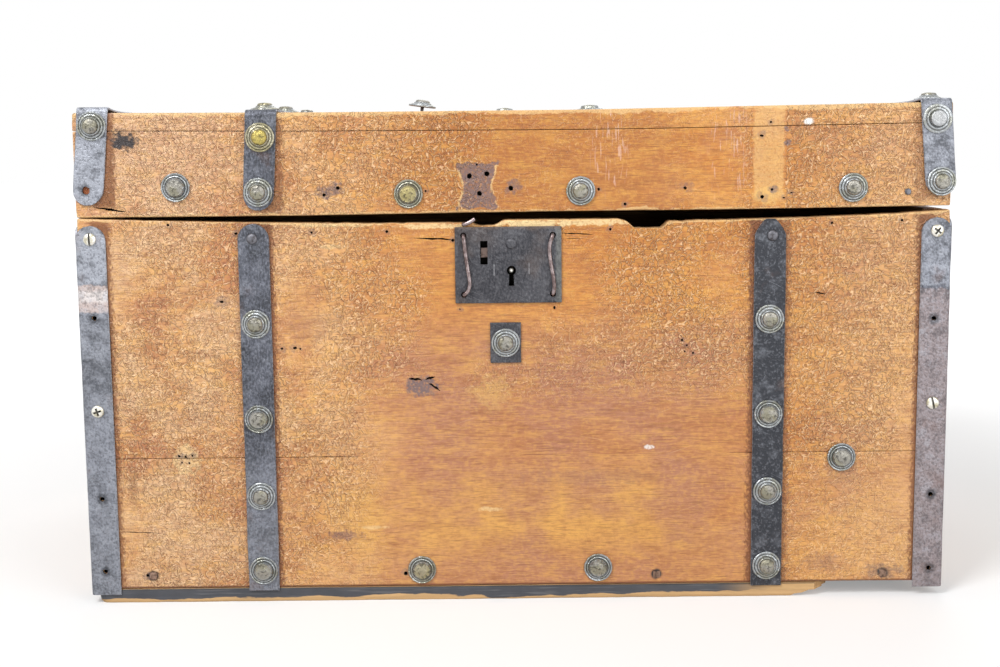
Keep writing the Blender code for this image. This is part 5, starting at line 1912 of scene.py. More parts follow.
class GeometryForge(Forge):
    """Builds one Geometry Nodes tree."""

    def __init__(self, name: str, takes: Sequence[tuple[str, str]], gives: str) -> None:
        """Starts a tree.

        Args:
            name: Its name.
            takes: Names and kinds of its inputs.
            gives: Name of the geometry that it puts out.
        """
        super().__init__(bpy.data.node_groups.new(name, "GeometryNodeTree"))
        self.entry, self.exit = self.add("NodeGroupInput"), self.add("NodeGroupOutput")
        for title, kind in takes:
            self.tree.interface.new_socket(title, in_out="INPUT", socket_type=f"NodeSocket{kind}")
        self.tree.interface.new_socket(gives, in_out="OUTPUT", socket_type="NodeSocketGeometry")

    def given(self, name: str) -> NodeSocket:
        """The socket of a named input."""
        return self.entry.outputs[name]

    def typed(self, node: Node, kind: str, *values: object) -> Node:
        """Feeds a node's inputs of one type in order.

        Args:
            node: The node.
            kind: The type.
            values: What each input takes.

        Returns:
            The same node.
        """
        for socket, value in zip([socket for socket in node.inputs if socket.type == kind], values):
            self.feed(socket, value)
        return node

    def spot(self, *values: object) -> NodeSocket:
        """Joins X, Y and Z."""
        return self.add("ShaderNodeCombineXYZ", values).outputs[0]

    def store(self, mesh: object, domain: str, name: str, value: object) -> NodeSocket:
        """Gives a mesh a number at each of its points or faces, by a node."""
        node = self.add("GeometryNodeStoreNamedAttribute", data_type="FLOAT", domain=domain)
        return self.wire(node, Geometry=mesh, Name=name, Value=value).outputs[0]

    def curve(self, value: NodeSocket, heights: Sequence[float]) -> NodeSocket:
        """Reads a line of straight pieces through heights that are evenly spaced from 0 to 1.

        Args:
            value: Where it is read, from 0 to 1.
            heights: The line's heights.

        Returns:
            The height there.
        """
        node = self.wire(self.add("ShaderNodeFloatCurve"), Value=value)
        line = node.mapping.curves[0]
        last = len(heights) - 1
        line.points[0].location = (0.0, heights[0])
        line.points[1].location = (1.0, heights[-1])
        for i in range(1, last):
            line.points.new(i / last, heights[i])
        for point in line.points:
            point.handle_type = "VECTOR"
        node.mapping.update()
        return node.outputs[0]


@dataclass(frozen=True)
class TurnedHead:
    """A head turned from a profile, as pairs of radius and height that start and end on the axis."""

    name: str
    profile: tuple[Spot, ...]
    sides: int
    hollow: tuple[int, ...] = ()
    boss: int = 99
    slots: tuple[Point, ...] = ()

    def head(self) -> Head:
        """Builds the group that turns the profile, with inputs for its radius, height and sides.

        Returns:
            The node group, and the sizes that it takes.
        """
        forge = GeometryForge(self.name, HEAD_SIZES, "Head")
        radius, height = (max(sizes) for sizes in zip(*self.profile))
        rows = range(len(self.profile))
        columns = forge.sum("ADD", forge.given("Sides"), 1)
        grid = forge.add("GeometryNodeMeshGrid", (1.0, 1.0, columns, len(self.profile)))
        split = forge.add("ShaderNodeSeparateXYZ", (forge.add("GeometryNodeInputPosition").outputs[0],))
        turn = forge.sum("MULTIPLY", forge.sum("ADD", split.outputs[0], 0.5), math.tau)
        rise = forge.sum("ADD", split.outputs[1], 0.5)
        away = forge.curve(rise, [r / radius for r, _ in self.profile])
        away = forge.sum("MULTIPLY", away, forge.given("Radius"))
        level = forge.curve(rise, [z / height for _, z in self.profile])
        level = forge.sum("MULTIPLY", level, forge.given("Height"))
        x, y = (forge.sum("MULTIPLY", away, forge.sum(wave, turn)) for wave in ("COSINE", "SINE"))
        marked = grid.outputs[0]
        for title, chosen in (("hollow", self.hollow), ("boss", rows[self.boss :])):
            share = forge.curve(rise, [float(row in chosen) for row in rows])
            marked = forge.store(marked, "POINT", title, share)
        placed = forge.add("GeometryNodeSetPosition", (marked, None, forge.spot(x, y, level)))
        merged = forge.add("GeometryNodeMergeByDistance", (placed.outputs[0],))
        head = forge.wire(merged, Distance=1e-6).outputs[0]
        for size in self.slots:
            bar = forge.add("GeometryNodeMeshCube", (size,)).outputs[0]
            bar = forge.store(bar, "FACE", "slot", 1.0)
            raised = forge.spot(0.0, 0.0, forge.given("Height"))
            lifted = forge.wire(forge.add("GeometryNodeTransform"), Geometry=bar, Translation=raised)
            cut = forge.add("GeometryNodeMeshBoolean", operation="DIFFERENCE")
            head = forge.wire(cut, Mesh_1=head, Mesh_2=lifted.outputs[0]).outputs[0]
        forge.wire(forge.exit, Head=head)
        return forge.tree, radius, height, self.sides


@dataclass(frozen=True)
class Fixing:
    """Where one stud, nail or screw is driven, and which way its head faces."""

    place: Point
    facing: Point
    kind: int = 0
    tint: float = 0.4
    size: float = 1.0
    turn: float = 0.0


def on_iron(x: float, z: float, *looks: object) -> Fixing:
    """A fixing in an iron of the front, with its kind, tint, size and turn."""
    return Fixing((x, STRAP_FACE_Y, z), OUT_FRONT, *looks)


@dataclass
class Driver:
    """Sets heads of a few kinds at many places, through one Geometry Nodes tree."""

    name: str
    heads: Sequence[Head]
    finish: Material
    wobble: float = 0.03
    seed: int = 5

    def tree(self) -> tuple[NodeTree, dict[str, str]]:
        """Builds the tree that sets the heads.

        Returns:
            The tree, and the identifier of each named input.
        """
        takes = [("Places", "Geometry"), ("Wobble", "Float"), ("Seed", "Int"), ("Finish", "Material")]
        for number in range(len(self.heads)):
            takes += [(f"{size} {number}", kind) for size, kind in HEAD_SIZES]
        forge = GeometryForge(self.name, takes, "Heads")
        named = {}
        for name, kind in (("facing", "FLOAT_VECTOR"), ("kind", "INT"), ("size", "FLOAT"), ("turn", "FLOAT")):
            node = forge.add("GeometryNodeInputNamedAttribute", data_type=kind)
            named[name] = forge.wire(node, Name=name).outputs[0]
        gather = forge.add("GeometryNodeJoinGeometry")
        for number, (head, *_) in enumerate(self.heads):
            sizes = [forge.given(f"{size} {number}") for size, _ in HEAD_SIZES]
            turned = forge.add("GeometryNodeGroup", sizes, node_tree=head)
            chosen = forge.add("FunctionNodeCompare", data_type="INT", operation="EQUAL")
            forge.typed(chosen, "INT", named["kind"], number)
            forge.feed(gather.inputs[0], self.instances(forge, named, turned.outputs[0], chosen.outputs[0]))
        real = forge.add("GeometryNodeRealizeInstances", (gather.outputs[0],))
        painted = forge.add("GeometryNodeSetMaterial", (real.outputs[0], None, forge.given("Finish")))
        forge.wire(forge.exit, Heads=painted.outputs[0])
        inputs = [item for item in forge.tree.interface.items_tree if item.in_out == "INPUT"]
        return forge.tree, {item.name: item.identifier for item in inputs}

    def instances(
        self,
        forge: GeometryForge,
        named: dict[str, NodeSocket],
        head: NodeSocket,
        chosen: NodeSocket,
    ) -> NodeSocket:
        """Adds the nodes that set one kind of head at its places.

        Args:
            forge: The tree.
            named: Attributes of the places.
            head: The head's mesh.
            chosen: Which places take this kind.

        Returns:
            The instances.
        """
        aim = forge.wire(forge.add("FunctionNodeAlignRotationToVector", axis="Z"), Vector=named["facing"])
        wobble = forge.given("Wobble")
        limits = [forge.spot(v, v, 0.0) for v in (forge.sum("MULTIPLY", wobble, -1.0), wobble)]
        shake = forge.typed(forge.add("FunctionNodeRandomValue", data_type="FLOAT_VECTOR"), "VECTOR", *limits)
        forge.wire(shake, Seed=forge.given("Seed"))
        turns = (shake.outputs[0], forge.spot(0.0, 0.0, named["turn"]))
        both = forge.add("ShaderNodeVectorMath", turns, operation="ADD")
        euler = forge.add("FunctionNodeEulerToRotation", (both.outputs[0],))
        spins = (aim.outputs[0], euler.outputs[0])
        spun = forge.add("FunctionNodeRotateRotation", spins, rotation_space="LOCAL").outputs[0]
        node = forge.add("GeometryNodeInstanceOnPoints")
        feeds = dict(Points=forge.given("Places"), Selection=chosen, Instance=head)
        return forge.wire(node, **feeds, Rotation=spun, Scale=named["size"]).outputs[0]

    def drive(self, name: str, fixings: Sequence[Fixing]) -> Object:
        """Sets a head at each place and makes a plain mesh of them all.

        Args:
            name: Name of the piece.
            fixings: The places.

        Returns:
            The piece's object.
        """
        mesh = bpy.data.meshes.new(name)
        mesh.from_pydata([fixing.place for fixing in fixings], [], [])
        facing = mesh.attributes.new("facing", "FLOAT_VECTOR", "POINT")
        facing.data.foreach_set("vector", [v for fixing in fixings for v in fixing.facing])
        kinds = mesh.attributes.new("kind", "INT", "POINT")
        kinds.data.foreach_set("value", [fixing.kind for fixing in fixings])
        for key in ("tint", "size", "turn"):
            store(mesh, key, "POINT", np.array([getattr(fixing, key) for fixing in fixings]))
        obj = as_object(name, mesh)
        tree, identifiers = self.tree()
        modifier = obj.modifiers.new("heads", "NODES")
        modifier.node_group = tree
        inputs = {"Wobble": self.wobble, "Seed": self.seed, "Finish": self.finish}
        for number, (_, *sizes) in enumerate(self.heads):
            inputs |= {f"{title} {number}": size for (title, _), size in zip(HEAD_SIZES, sizes)}
        for key, value in inputs.items():
            modifier[identifiers[key]] = value
        settle(obj)
        return obj


class StudKind(Enum):
    """The shapes of stud that the trunk has gathered over the years."""

    HAT = 0
    DOME = 1
    BUTTON = 2


STUD_H = 0.0058
# Each profile has a rolled brim, then rings whose grooves at HOLLOWS take dirt and painted shade, and a boss
# that starts at BOSS
BOSS = 15
HOLLOWS = (6, 7, 10, 11, 14)
BRIM = ((0.0, 0.0), (0.0102, 0.0), (0.0108, 0.0004))
STUD_PROFILES = {
    StudKind.HAT: (
        *BRIM, (0.01075, 0.0011), (0.0103, 0.0015), (0.0097, 0.0015), (0.0093, 0.0012), (0.0090, 0.0013),
        (0.0087, 0.0019), (0.0081, 0.0022), (0.0074, 0.0021), (0.0071, 0.0021), (0.0068, 0.0030),
        (0.0063, 0.0034), (0.0058, 0.0034), (0.0055, 0.0044), (0.0050, 0.0051), (0.0042, 0.0054),
        (0.0022, 0.0056), (0.0, 0.0058),
    ),
    StudKind.DOME: (
        *BRIM, (0.01075, 0.0011), (0.0103, 0.0016), (0.0097, 0.0015), (0.0093, 0.0011), (0.0089, 0.0011),
        (0.0086, 0.0018), (0.0081, 0.0020), (0.0077, 0.0018), (0.0073, 0.0018), (0.0070, 0.0030),
        (0.0067, 0.0038), (0.0063, 0.0042), (0.0057, 0.0042), (0.0053, 0.0041), (0.0040, 0.0045),
        (0.0020, 0.0049), (0.0, 0.0051),
    ),
    StudKind.BUTTON: (
        *BRIM, (0.01075, 0.0010), (0.0103, 0.0013), (0.0096, 0.0015), (0.0088, 0.0016), (0.0082, 0.0018),
        (0.0076, 0.0020), (0.0070, 0.0021), (0.0066, 0.0019), (0.0063, 0.0019), (0.0062, 0.0028),
        (0.0061, 0.0038), (0.0058, 0.0045), (0.0053, 0.0048), (0.0045, 0.0049), (0.0030, 0.0049),
        (0.0015, 0.0049), (0.0, 0.0049),
    ),
}


@dataclass
class Studs:
    """The brimmed studs on the straps, the front boards and the lid."""

    palette: Palette
    sides: int = 28
    strap_levels: tuple[float, ...] = (0.0250, 0.0830, 0.1425, 0.2145)
    loose_lift: float = 0.0045
    loose_shift: float = 0.0015
    loose_tilt: float = math.radians(6)
    shank_w: float = 0.0028
    shank_l: float = 0.010
    shank_bevel: float = 0.0003
    shank_taper: float = 0.6
    seed: int = 11
    # X, Z, kind and tint of each stud on the lid's straps, and X and distance behind the front on its top
    lid_front: tuple[tuple[float, float, StudKind, float], ...] = (
        (-0.3088, 0.3620, StudKind.HAT, 0.25),
        (-0.1882, 0.3124, StudKind.HAT, 0.40),
        (-0.1857, 0.3526, StudKind.HAT, 1.00),
        (0.3158, 0.3154, StudKind.HAT, 0.35),
        (0.3116, 0.3612, StudKind.BUTTON, 0.02),
    )
    lid_top: tuple[Spot, ...] = (
        (LID_STRAP_X[1], 0.020), (LID_STRAP_X[1], 0.128), (LID_STRAP_X[1], 0.260), (LID_STRAP_X[2], 0.019),
    )

    def heads(self) -> list[Head]:
        """Builds the groups that turn the studs.

        Returns:
            Each kind's group and sizes.
        """
        return [
            TurnedHead(f"stud_{kind.name.lower()}", profile, self.sides, HOLLOWS, BOSS).head()
            for kind, profile in STUD_PROFILES.items()
        ]

    def node_fixing(self, node: str, draw: random.Random) -> Fixing:
        """Where the stud of a CAD node sits.

        Args:
            node: The CAD node.
            draw: The studs' random numbers.

        Returns:
            The stud's place and looks.
        """
        low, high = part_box(node)
        x, y, z = (low + high) / 2
        kind = draw.choice((StudKind.HAT, StudKind.DOME, StudKind.DOME)).value
        looks = (kind, draw.uniform(0.15, 0.8), 1.0, draw.uniform(0, 6))
        if node.startswith("lid_top"):
            return Fixing((x, y, LID_TOP_Z + GAP + float(lid_lift(x, y))), OUT_TOP, *looks)
        return Fixing((x, low.y + STUD_H, z), OUT_FRONT, *looks)

    def build(self) -> None:
        """Builds the studs of the chest and those of the lid."""
        draw = random.Random(self.seed)
        driver = Driver("set_studs", self.heads(), self.palette.studs)
        chest_nodes = [f"front_stud_{word}" for word in ("bottom_left", "bottom_right", "centre", "right")]
        chest = [self.node_fixing(node, draw) for node in chest_nodes]
        for x in INNER_STRAP_X:
            for z in self.strap_levels:
                kind = draw.choice(list(StudKind)[:2]).value
                chest.append(on_iron(x, z, kind, draw.uniform(0.15, 0.7), 1.0, draw.uniform(0, 6)))
        dress(driver.drive("chest_studs", chest), "chest", chest_nodes)
        lid_nodes = [f"lid_stud_{word}" for word in ("far_left", "left", "right", "far_right")]
        lid_nodes += [f"lid_top_stud_{word}" for word in ("centre", "right")]
        lid = [self.node_fixing(node, draw) for node in lid_nodes]
        lid.append(self.loose())
        self.shank(lid[-1])
        for x, z, kind, tint in self.lid_front:
            lid.append(on_iron(x, z, kind.value, tint, 1.0, draw.uniform(0, 6)))
        for x, behind in self.lid_top:
            y = FRONT_Y + behind
            place = (x, y, LID_TOP_Z + GAP + STRAP_T + float(lid_lift(x, y)))
            lid.append(Fixing(place, OUT_TOP, 0, draw.uniform(0.15, 0.7), 1.0, draw.uniform(0, 6)))
        dress(driver.drive("lid_studs", lid), "lid", lid_nodes + ["lid_top_stud_left"])

    def shank(self, stud: Fixing) -> None:
        """Builds the square shank that shows under the loose stud.

        Args:
            stud: Where that stud sits.
        """
        facing = Vector(stud.facing)
        turn = facing.to_track_quat("Z", "Y")
        half = self.shank_w / 2
        top = Vector(stud.place) + facing * 0.001
        ring = [top + turn @ Vector((half * i, half * j, 0)) for i, j in SQUARE]
        shape = bmesh.new()
        prism(shape, ring, -facing * self.shank_l, self.shank_taper)
        bmesh.ops.recalc_face_normals(shape, faces=shape.faces)
        edges = [edge for edge in shape.edges if edge.calc_face_angle() > math.radians(30)]
        bmesh.ops.bevel(
            shape, geom=edges, offset=self.shank_bevel, segments=2, profile=0.5, affect="EDGES"
        )
        dress(finished("loose_stud_shank", shape, self.palette.nail), "lid")

    def loose(self) -> Fixing:
        """Places the stud that has half pulled out of the lid.

        Returns:
            Its place and looks.
        """
        low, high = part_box("lid_top_stud_left")
        facing = (math.sin(self.loose_tilt), 0.0, math.cos(self.loose_tilt))
        x, y = (low.x + high.x) / 2 + self.loose_shift, (low.y + high.y) / 2
        top = LID_TOP_Z + GAP + self.loose_lift + float(lid_lift(x, y))
        return Fixing((x, y, top), facing, 0, 0.3)


@dataclass
class LockPlate(WornBlock):
    """The lock's face plate, with its staple slot, its keyhole and the four holes of the wires."""

    slot_place: Spot = (-0.0221, 0.2661)
    slot_size: Spot = (0.0054, 0.0175)
    key_place: Spot = (-0.00185, 0.2527)
    key_r: float = 0.0035
    tail_w: float = 0.0040
    tail_h: float = 0.0115
    tail_taper: float = 0.8
    wire_inset: float = 0.0065
    wire_hole: float = 0.0023
    corners: int = 28

    @classmethod
    def wire_spots(cls) -> list[Spot]:
        """The places of the wire holes.

        Returns:
            X and Z of the left ones and then the right ones, each from below.
        """
        low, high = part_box("lock_plate")
        levels = (low.z + cls.wire_inset, high.z - cls.wire_inset)
        return [(x, z) for x in (low.x + cls.wire_inset, high.x - cls.wire_inset) for z in levels]

    def circle(self, x: float, y: float, z: float, radius: float) -> list[Point]:
        """A ring of points in X and Z."""
        turns = [math.tau * i / self.corners for i in range(self.corners)]
        return [(x + radius * math.cos(turn), y, z + radius * math.sin(turn)) for turn in turns]

    def cut(self, block: Object, low: Vector, high: Vector) -> None:
        """Cuts the slot, the keyhole and the wire holes.

        Args:
            block: The plate that is cut.
            low: The plate's lowest corner.
            high: Its highest corner.
        """
        y, through = low.y - 0.002, (0, high.y - low.y + 0.004, 0)
        (x, z), (w, h) = self.slot_place, self.slot_size
        slot = [(x + w * i / 2, y, z + h * j / 2) for i, j in SQUARE]
        x, z = self.key_place
        half, foot = self.tail_w / 2, z - self.tail_h
        narrow = half * self.tail_taper
        tail = [(x - half, y, foot), (x + half, y, foot), (x + narrow, y, z), (x - narrow, y, z)]
        wires = [self.circle(side, y, level, self.wire_hole) for side, level in self.wire_spots()]
        for rings in ((slot, self.circle(x, y, z, self.key_r)), (tail, *wires)):
            cutter = bmesh.new()
            for ring in rings:
                prism(cutter, ring, through)
            carve(block, cutter, self.inner)


def soft_path(corners: Sequence[Point], bend: float, steps: int = 6) -> list[Vector]:
    """Rounds the corners of a line.

    Args:
        corners: The line's points.
        bend: How far before a corner the line starts to turn.
        steps: Points in each turn.

    Returns:
        The points of the rounded line.
    """
    points = [Vector(corner) for corner in corners]
    path = [points[0]]
    for before, here, after in zip(points, points[1:], points[2:]):
        reach = min(bend, (here - before).length / 2.05, (after - here).length / 2.05)
        start = here + (before - here).normalized() * reach
        end = here + (after - here).normalized() * reach
        for i in range(steps + 1):
            share = i / steps
            path.append(start * (1 - share) ** 2 + here * 2 * share * (1 - share) + end * share**2)
    return path + [points[-1]]


def rod(name: str, path: Sequence[Vector], radius: float, finish: Material) -> Object:
    """A round rod along a line.

    Args:
        name: Name of the object.
        path: Points of the line.
        radius: Radius of the rod.
        finish: Its material.

    Returns:
        The rod's object.
    """
    curve = bpy.data.curves.new(name, "CURVE")
    curve.dimensions = "3D"
    curve.bevel_depth = radius
    curve.bevel_resolution = 4
    curve.use_fill_caps = True
    spline = curve.splines.new("POLY")
    spline.points.add(len(path) - 1)
    for point, place in zip(spline.points, path):
        point.co = (*place, 1.0)
    line = as_object(f"{name}_line", curve)
    graph = bpy.context.evaluated_depsgraph_get()
    mesh = bpy.data.meshes.new_from_object(line.evaluated_get(graph))
    bpy.data.objects.remove(line)
    shape = bmesh.new()
    shape.from_mesh(mesh)
    bmesh.ops.remove_doubles(shape, verts=shape.verts, dist=1e-6)
    bmesh.ops.recalc_face_normals(shape, faces=shape.faces)
    return finished(name, shape, finish)


def soften(
    node: str, body: str, finish: Material, slot: str = "strap_iron", width: float = 0.0005
) -> None:
    """Dresses a copy of a CAD node with its sharp edges taken off, and names it after its metal.

    Args:
        node: The CAD node.
        body: CAD body that it rides on.
        finish: Its material.
        slot: A name such as strap_iron, whose second word, the metal, ends the piece's name.
        width: Width of the bevel.
    """
    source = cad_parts[node]
    shape = bmesh.new()
    shape.from_mesh(source.data)
    shape.transform(source.matrix_world)
    bmesh.ops.remove_doubles(shape, verts=shape.verts, dist=1e-6)
    bmesh.ops.dissolve_limit(shape, angle_limit=math.radians(1), verts=shape.verts, edges=shape.edges)
    sharp = [edge for edge in shape.edges if edge.is_manifold and edge.calc_face_angle() > SMOOTH_ANGLE]
    bmesh.ops.bevel(
        shape, geom=sharp, offset=width, segments=2, profile=0.6, affect="EDGES", clamp_overlap=True
    )
    dress(finished(f"{node}_{slot.split('_')[1]}", shape, finish), body, [node])


def repaint(node: str, finish: Material) -> None:
    """Gives a CAD node, which keeps its own shape, a finish."""
    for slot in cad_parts[node].material_slots:
        slot.material = finish


@dataclass
class Lock:
    """The plate lock, the two wires bent through its plate, and the washer plate of the stud below it."""

    palette: Palette
    wire_r: float = 0.0015
    wire_depth: float = 0.0045
    wire_bend: float = 0.0025
    hook_depth: float = 0.0022
    # how far each wire strays from a straight line, as distances sideways and down from its upper hole
    left_bow: tuple[Spot, ...] = (
        (0.0011, 0.010), (0.0023, 0.020), (0.0040, 0.031), (0.0046, 0.0365), (0.0030, 0.0415),
    )
    right_bow: tuple[Spot, ...] = (
        (-0.0024, 0.0065), (-0.0026, 0.012), (-0.0018, 0.020), (0.0002, 0.031), (0.0010, 0.039),
    )

    def build(self) -> None:
        """Builds the plates and the wires, and gives the works behind them their finish."""
        paint = self.palette
        iron = dict(finish=paint.lock_iron, inner=paint.wire, slot="lock_iron", arris=0.0004, dent=0.0002)
        LockPlate("lock_plate", "chest", step=0.004, across=0.004, seed=71, **iron).build()
        WornBlock("stud_washer_plate", "chest", step=0.003, across=0.003, seed=72, **iron).build()
        repaint("lock_case", paint.soot)
        repaint("lock_spring", paint.soot)
        repaint("lock_bolt", paint.bolt)
        repaint("lock_key_pin", paint.zinc)
        (left, foot), (_, top), (right, _), _ = LockPlate.wire_spots()
        self.wire("lock_wire_left", left, top, foot, self.left_bow)
        self.wire("lock_wire_right", right, top, foot, self.right_bow)

    def wire(self, node: str, x: float, top: float, foot: float, bow: Sequence[Spot]) -> None:
        """Bends one wire through its two holes.

        Args:
            node: The CAD node that it stands for.
            x: Place of its holes.
            top: Height of the upper hole.
            foot: Height of the lower hole.
            bow: How its run strays.
        """
        low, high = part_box("lock_plate")
        run, deep = low.y - GAP - self.wire_r, FRONT_Y + self.wire_depth
        path = [(x, deep, foot), (x, run, foot)]
        path += [(x + sideways, run, top - down) for sideways, down in reversed(bow)]
        path.append((x, run, top))
        if node == "lock_wire_left":
            edge, out = high.z + GAP + self.wire_r, FRONT_Y - GAP - self.wire_r
            hook = FRONT_Y + self.hook_depth
            path += [(x, hook, top), (x, hook, edge), (x, out, edge)]
            path += [(x + 0.0040, out - 0.0006, edge + 0.0012), (x + 0.0085, out, edge + 0.0040)]
        else:
            path.append((x, deep, top))
        wire = rod(f"{node}_bent", soft_path(path, self.wire_bend), self.wire_r, self.palette.wire)
        dress(wire, "chest", [node])


@dataclass
class Hinges:
    """The two strap hinges behind the trunk."""

    palette: Palette
    pin_bevel: float = 0.0003

    def build(self) -> None:
        """Builds the leaves and the pins."""
        for _, word in HANDS:
            soften(f"hinge_{word}_body_leaf", "chest", self.palette.iron)
            soften(f"hinge_{word}_lid_leaf", "lid", self.palette.iron)
            soften(f"hinge_{word}_pin", "chest", self.palette.nail, "bare_steel", self.pin_bevel)


@dataclass
class Handles:
    """A drop handle on each end: a bail that swings in two eyes."""

    palette: Palette
    rod_r: float = 0.0040
    bail_half: float = 0.047
    neck: float = 0.007
    corner: float = 0.014
    corner_steps: int = 10

    def build(self) -> None:
        """Builds the eyes and the bails."""
        for _, word in HANDS:
            soften(f"{word}_handle_front_eye", "chest", self.palette.iron)
            soften(f"{word}_handle_rear_eye", "chest", self.palette.iron)
            node, half = f"{word}_handle_bail", self.bail_half
            low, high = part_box(node)
            x, z, foot = (low.x + high.x) / 2, high.z - self.rod_r, low.z + self.rod_r
            waist = (z + foot) / 2
            path = soft_path([(x, low.y, z), (x, -half, z), (x, -half, foot)], self.neck)[:-1]
            bow = [(x, -half, waist), (x, -half, foot), (x, half, foot), (x, half, waist)]
            path += soft_path(bow, self.corner, self.corner_steps)[1:-1]
            path += soft_path([(x, half, foot), (x, half, z), (x, high.y, z)], self.neck)[1:]
            bail = rod(f"{node}_iron", path, self.rod_r, self.palette.iron)
            dress(bail, f"{word}_handle", [node])


class NailKind(Enum):
    """The kinds of nail head."""

    ROUND = 0
    RIVET = 1
    CUT = 2


class ScrewKind(Enum):
    """The kinds of screw head."""

    SLOTTED = 0
    CROSS = 1


NAIL_PROFILES = {
    NailKind.ROUND: (
        (0.0, -0.0004), (0.0022, -0.0004), (0.0024, 0.0), (0.0024, 0.0005), (0.0021, 0.0008),
        (0.0012, 0.0009), (0.0, 0.0009),
    ),
    NailKind.RIVET: (
        (0.0, 0.0), (0.0038, 0.0), (0.0041, 0.0003), (0.0040, 0.0009), (0.0036, 0.0014), (0.0028, 0.0018),
        (0.0018, 0.0020), (0.0, 0.0020),
    ),
    NailKind.CUT: (
        (0.0, 0.0), (0.0030, 0.0), (0.0032, 0.0003), (0.0030, 0.0007), (0.0024, 0.0008), (0.0010, 0.0006),
        (0.0, 0.0007),
    ),
}
SCREW_PROFILE = (
    (0.0, 0.0), (0.0041, 0.0), (0.0043, 0.0003), (0.0042, 0.0008), (0.0038, 0.0013), (0.0031, 0.0017),
    (0.0022, 0.0020), (0.0012, 0.0021), (0.0, 0.0021),
)


@dataclass
class Fixings:
    """The nails, rivets and screws that hold the boards and irons together."""

    palette: Palette
    nail_sides: tuple[int, ...] = (14, 20, 4)
    screw_sides: int = 24
    screw_size: float = 1.12
    screw_wobble: float = 0.05
    nail_wobble: float = 0.08
    rivet_wobble: float = 0.02
    cut_wobble: float = 0.25
    cut_size: float = 1.2
    cut_turn: float = 0.78
    screw_slots: dict[ScrewKind, tuple[Point, ...]] = field(default_factory=lambda: {
        ScrewKind.SLOTTED: ((0.0014, 0.0100, 0.0026),),
        ScrewKind.CROSS: ((0.0013, 0.0054, 0.0028), (0.0054, 0.0013, 0.0028)),
    })
    screws: tuple[tuple[float, float, ScrewKind, float], ...] = (
        (-0.31395, 0.2790, ScrewKind.SLOTTED, 0.05),
        (-0.31395, 0.1495, ScrewKind.CROSS, 0.3),
        (0.31395, 0.2790, ScrewKind.CROSS, 0.9),
        (0.31395, 0.1495, ScrewKind.SLOTTED, 0.2),
    )
    strap_rivets: tuple[Spot, ...] = ((-0.1938, 0.2782), (0.1919, 0.2767))
    lid_nail: Spot = (0.2918, 0.3080)
    lock_rivet: Spot = (-0.00185, 0.2727)
    iron_levels: tuple[float, ...] = (0.028, 0.098, 0.187, 0.268)
    iron_x: float = 0.3140
    iron_inset: float = 0.0105
    iron_drop: float = 0.006
    foot_level: float = 0.022
    foot_x: tuple[float, ...] = (-0.262, -0.120, 0.018, 0.128, 0.258)
    foot_y: tuple[float, ...] = (-0.118, -0.012, 0.098)
    top_x: tuple[float, ...] = (-0.262, -0.118, 0.024, 0.142, 0.254)
    top_inset: float = 0.008
    leaf_drops: tuple[float, ...] = (0.020, 0.062, 0.104, 0.143)
    leaf_rises: tuple[float, ...] = (0.014, 0.036)
    eye_inset: float = 0.005
    strap_drop: float = 0.012
    sunk: float = 0.0008

    def build(self) -> None:
        """Builds the screws, then the nails of the chest and those of the lid."""
        paint = self.palette
        heads = [
            TurnedHead(f"screw_{kind.name.lower()}", SCREW_PROFILE, self.screw_sides, slots=slots).head()
            for kind, slots in self.screw_slots.items()
        ]
        spots = [on_iron(x, z, kind.value, 0.3, self.screw_size, turn) for x, z, kind, turn in self.screws]
        screws = Driver("set_screws", heads, paint.zinc, self.screw_wobble).drive("iron_screws", spots)
        dress(screws, "chest")
        nails = [
            TurnedHead(f"nail_{kind.name.lower()}", profile, sides).head()
            for (kind, profile), sides in zip(NAIL_PROFILES.items(), self.nail_sides)
        ]
        driver = Driver("set_nails", nails, paint.nail, self.nail_wobble)
        chest = [on_iron(*spot, NailKind.RIVET.value) for spot in self.strap_rivets]
        chest += self.back_nails() + self.end_nails()
        dress(driver.drive("chest_nails", chest), "chest")
        rivet = [on_iron(*self.lock_rivet, NailKind.RIVET.value)]
        plate = Driver("set_rivet", nails, paint.lock_iron, self.rivet_wobble).drive("lock_rivet_head", rivet)
        dress(plate, "chest", ["lock_rivet"])
        cut = dict(kind=NailKind.CUT.value, size=self.cut_size, turn=self.cut_turn)
        spots = [Fixing((x, FRONT_Y, z), OUT_FRONT, **cut) for x, z in CUT_NAILS]
        foot = Driver("set_cut_nails", nails, paint.rusty, self.cut_wobble).drive("foot_nails", spots)
        dress(foot, "chest")
        dress(driver.drive("lid_nails", self.lid_nails()), "lid")

    def back_nails(self) -> list[Fixing]:
        """Places the nails of the back wall, its corner irons and the hinges.

        Returns:
            The nails.
        """
        spots = [(x, BACK_Y, self.foot_level) for x in self.foot_x]
        for side, _ in HANDS:
            spots += [(side * self.iron_x, STRAP_BACK_Y, z) for z in self.iron_levels]
        low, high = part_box("hinge_left_pin")
        for x in INNER_STRAP_X:
            spots += [(x, LEAF_BACK_Y, (low.z + high.z) / 2 - drop) for drop in self.leaf_drops]
        return [Fixing(spot, OUT_BACK) for spot in spots]

    def end_nails(self) -> list[Fixing]:
        """Places the nails of both ends: along the foot, in the irons' legs and in the handles' eyes.

        Returns:
            The nails.
        """
        places = []
        for side, word in HANDS:
            spots = [(HALF_W, y, self.foot_level) for y in self.foot_y]
            for y in (FRONT_Y + self.iron_inset, BACK_Y - self.iron_inset):
                spots += [(HALF_W + GAP + STRAP_T, y, z - self.iron_drop) for z in self.iron_levels]
            for place in ("front", "rear"):
                low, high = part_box(f"{word}_handle_{place}_eye")
                for z in (low.z + self.eye_inset, high.z - self.eye_inset):
                    spots.append((HALF_W + GAP + EYE_T, (low.y + high.y) / 2, z))
            places += [Fixing((side * x, y, z), (side, 0, 0)) for x, y, z in spots]
        return places

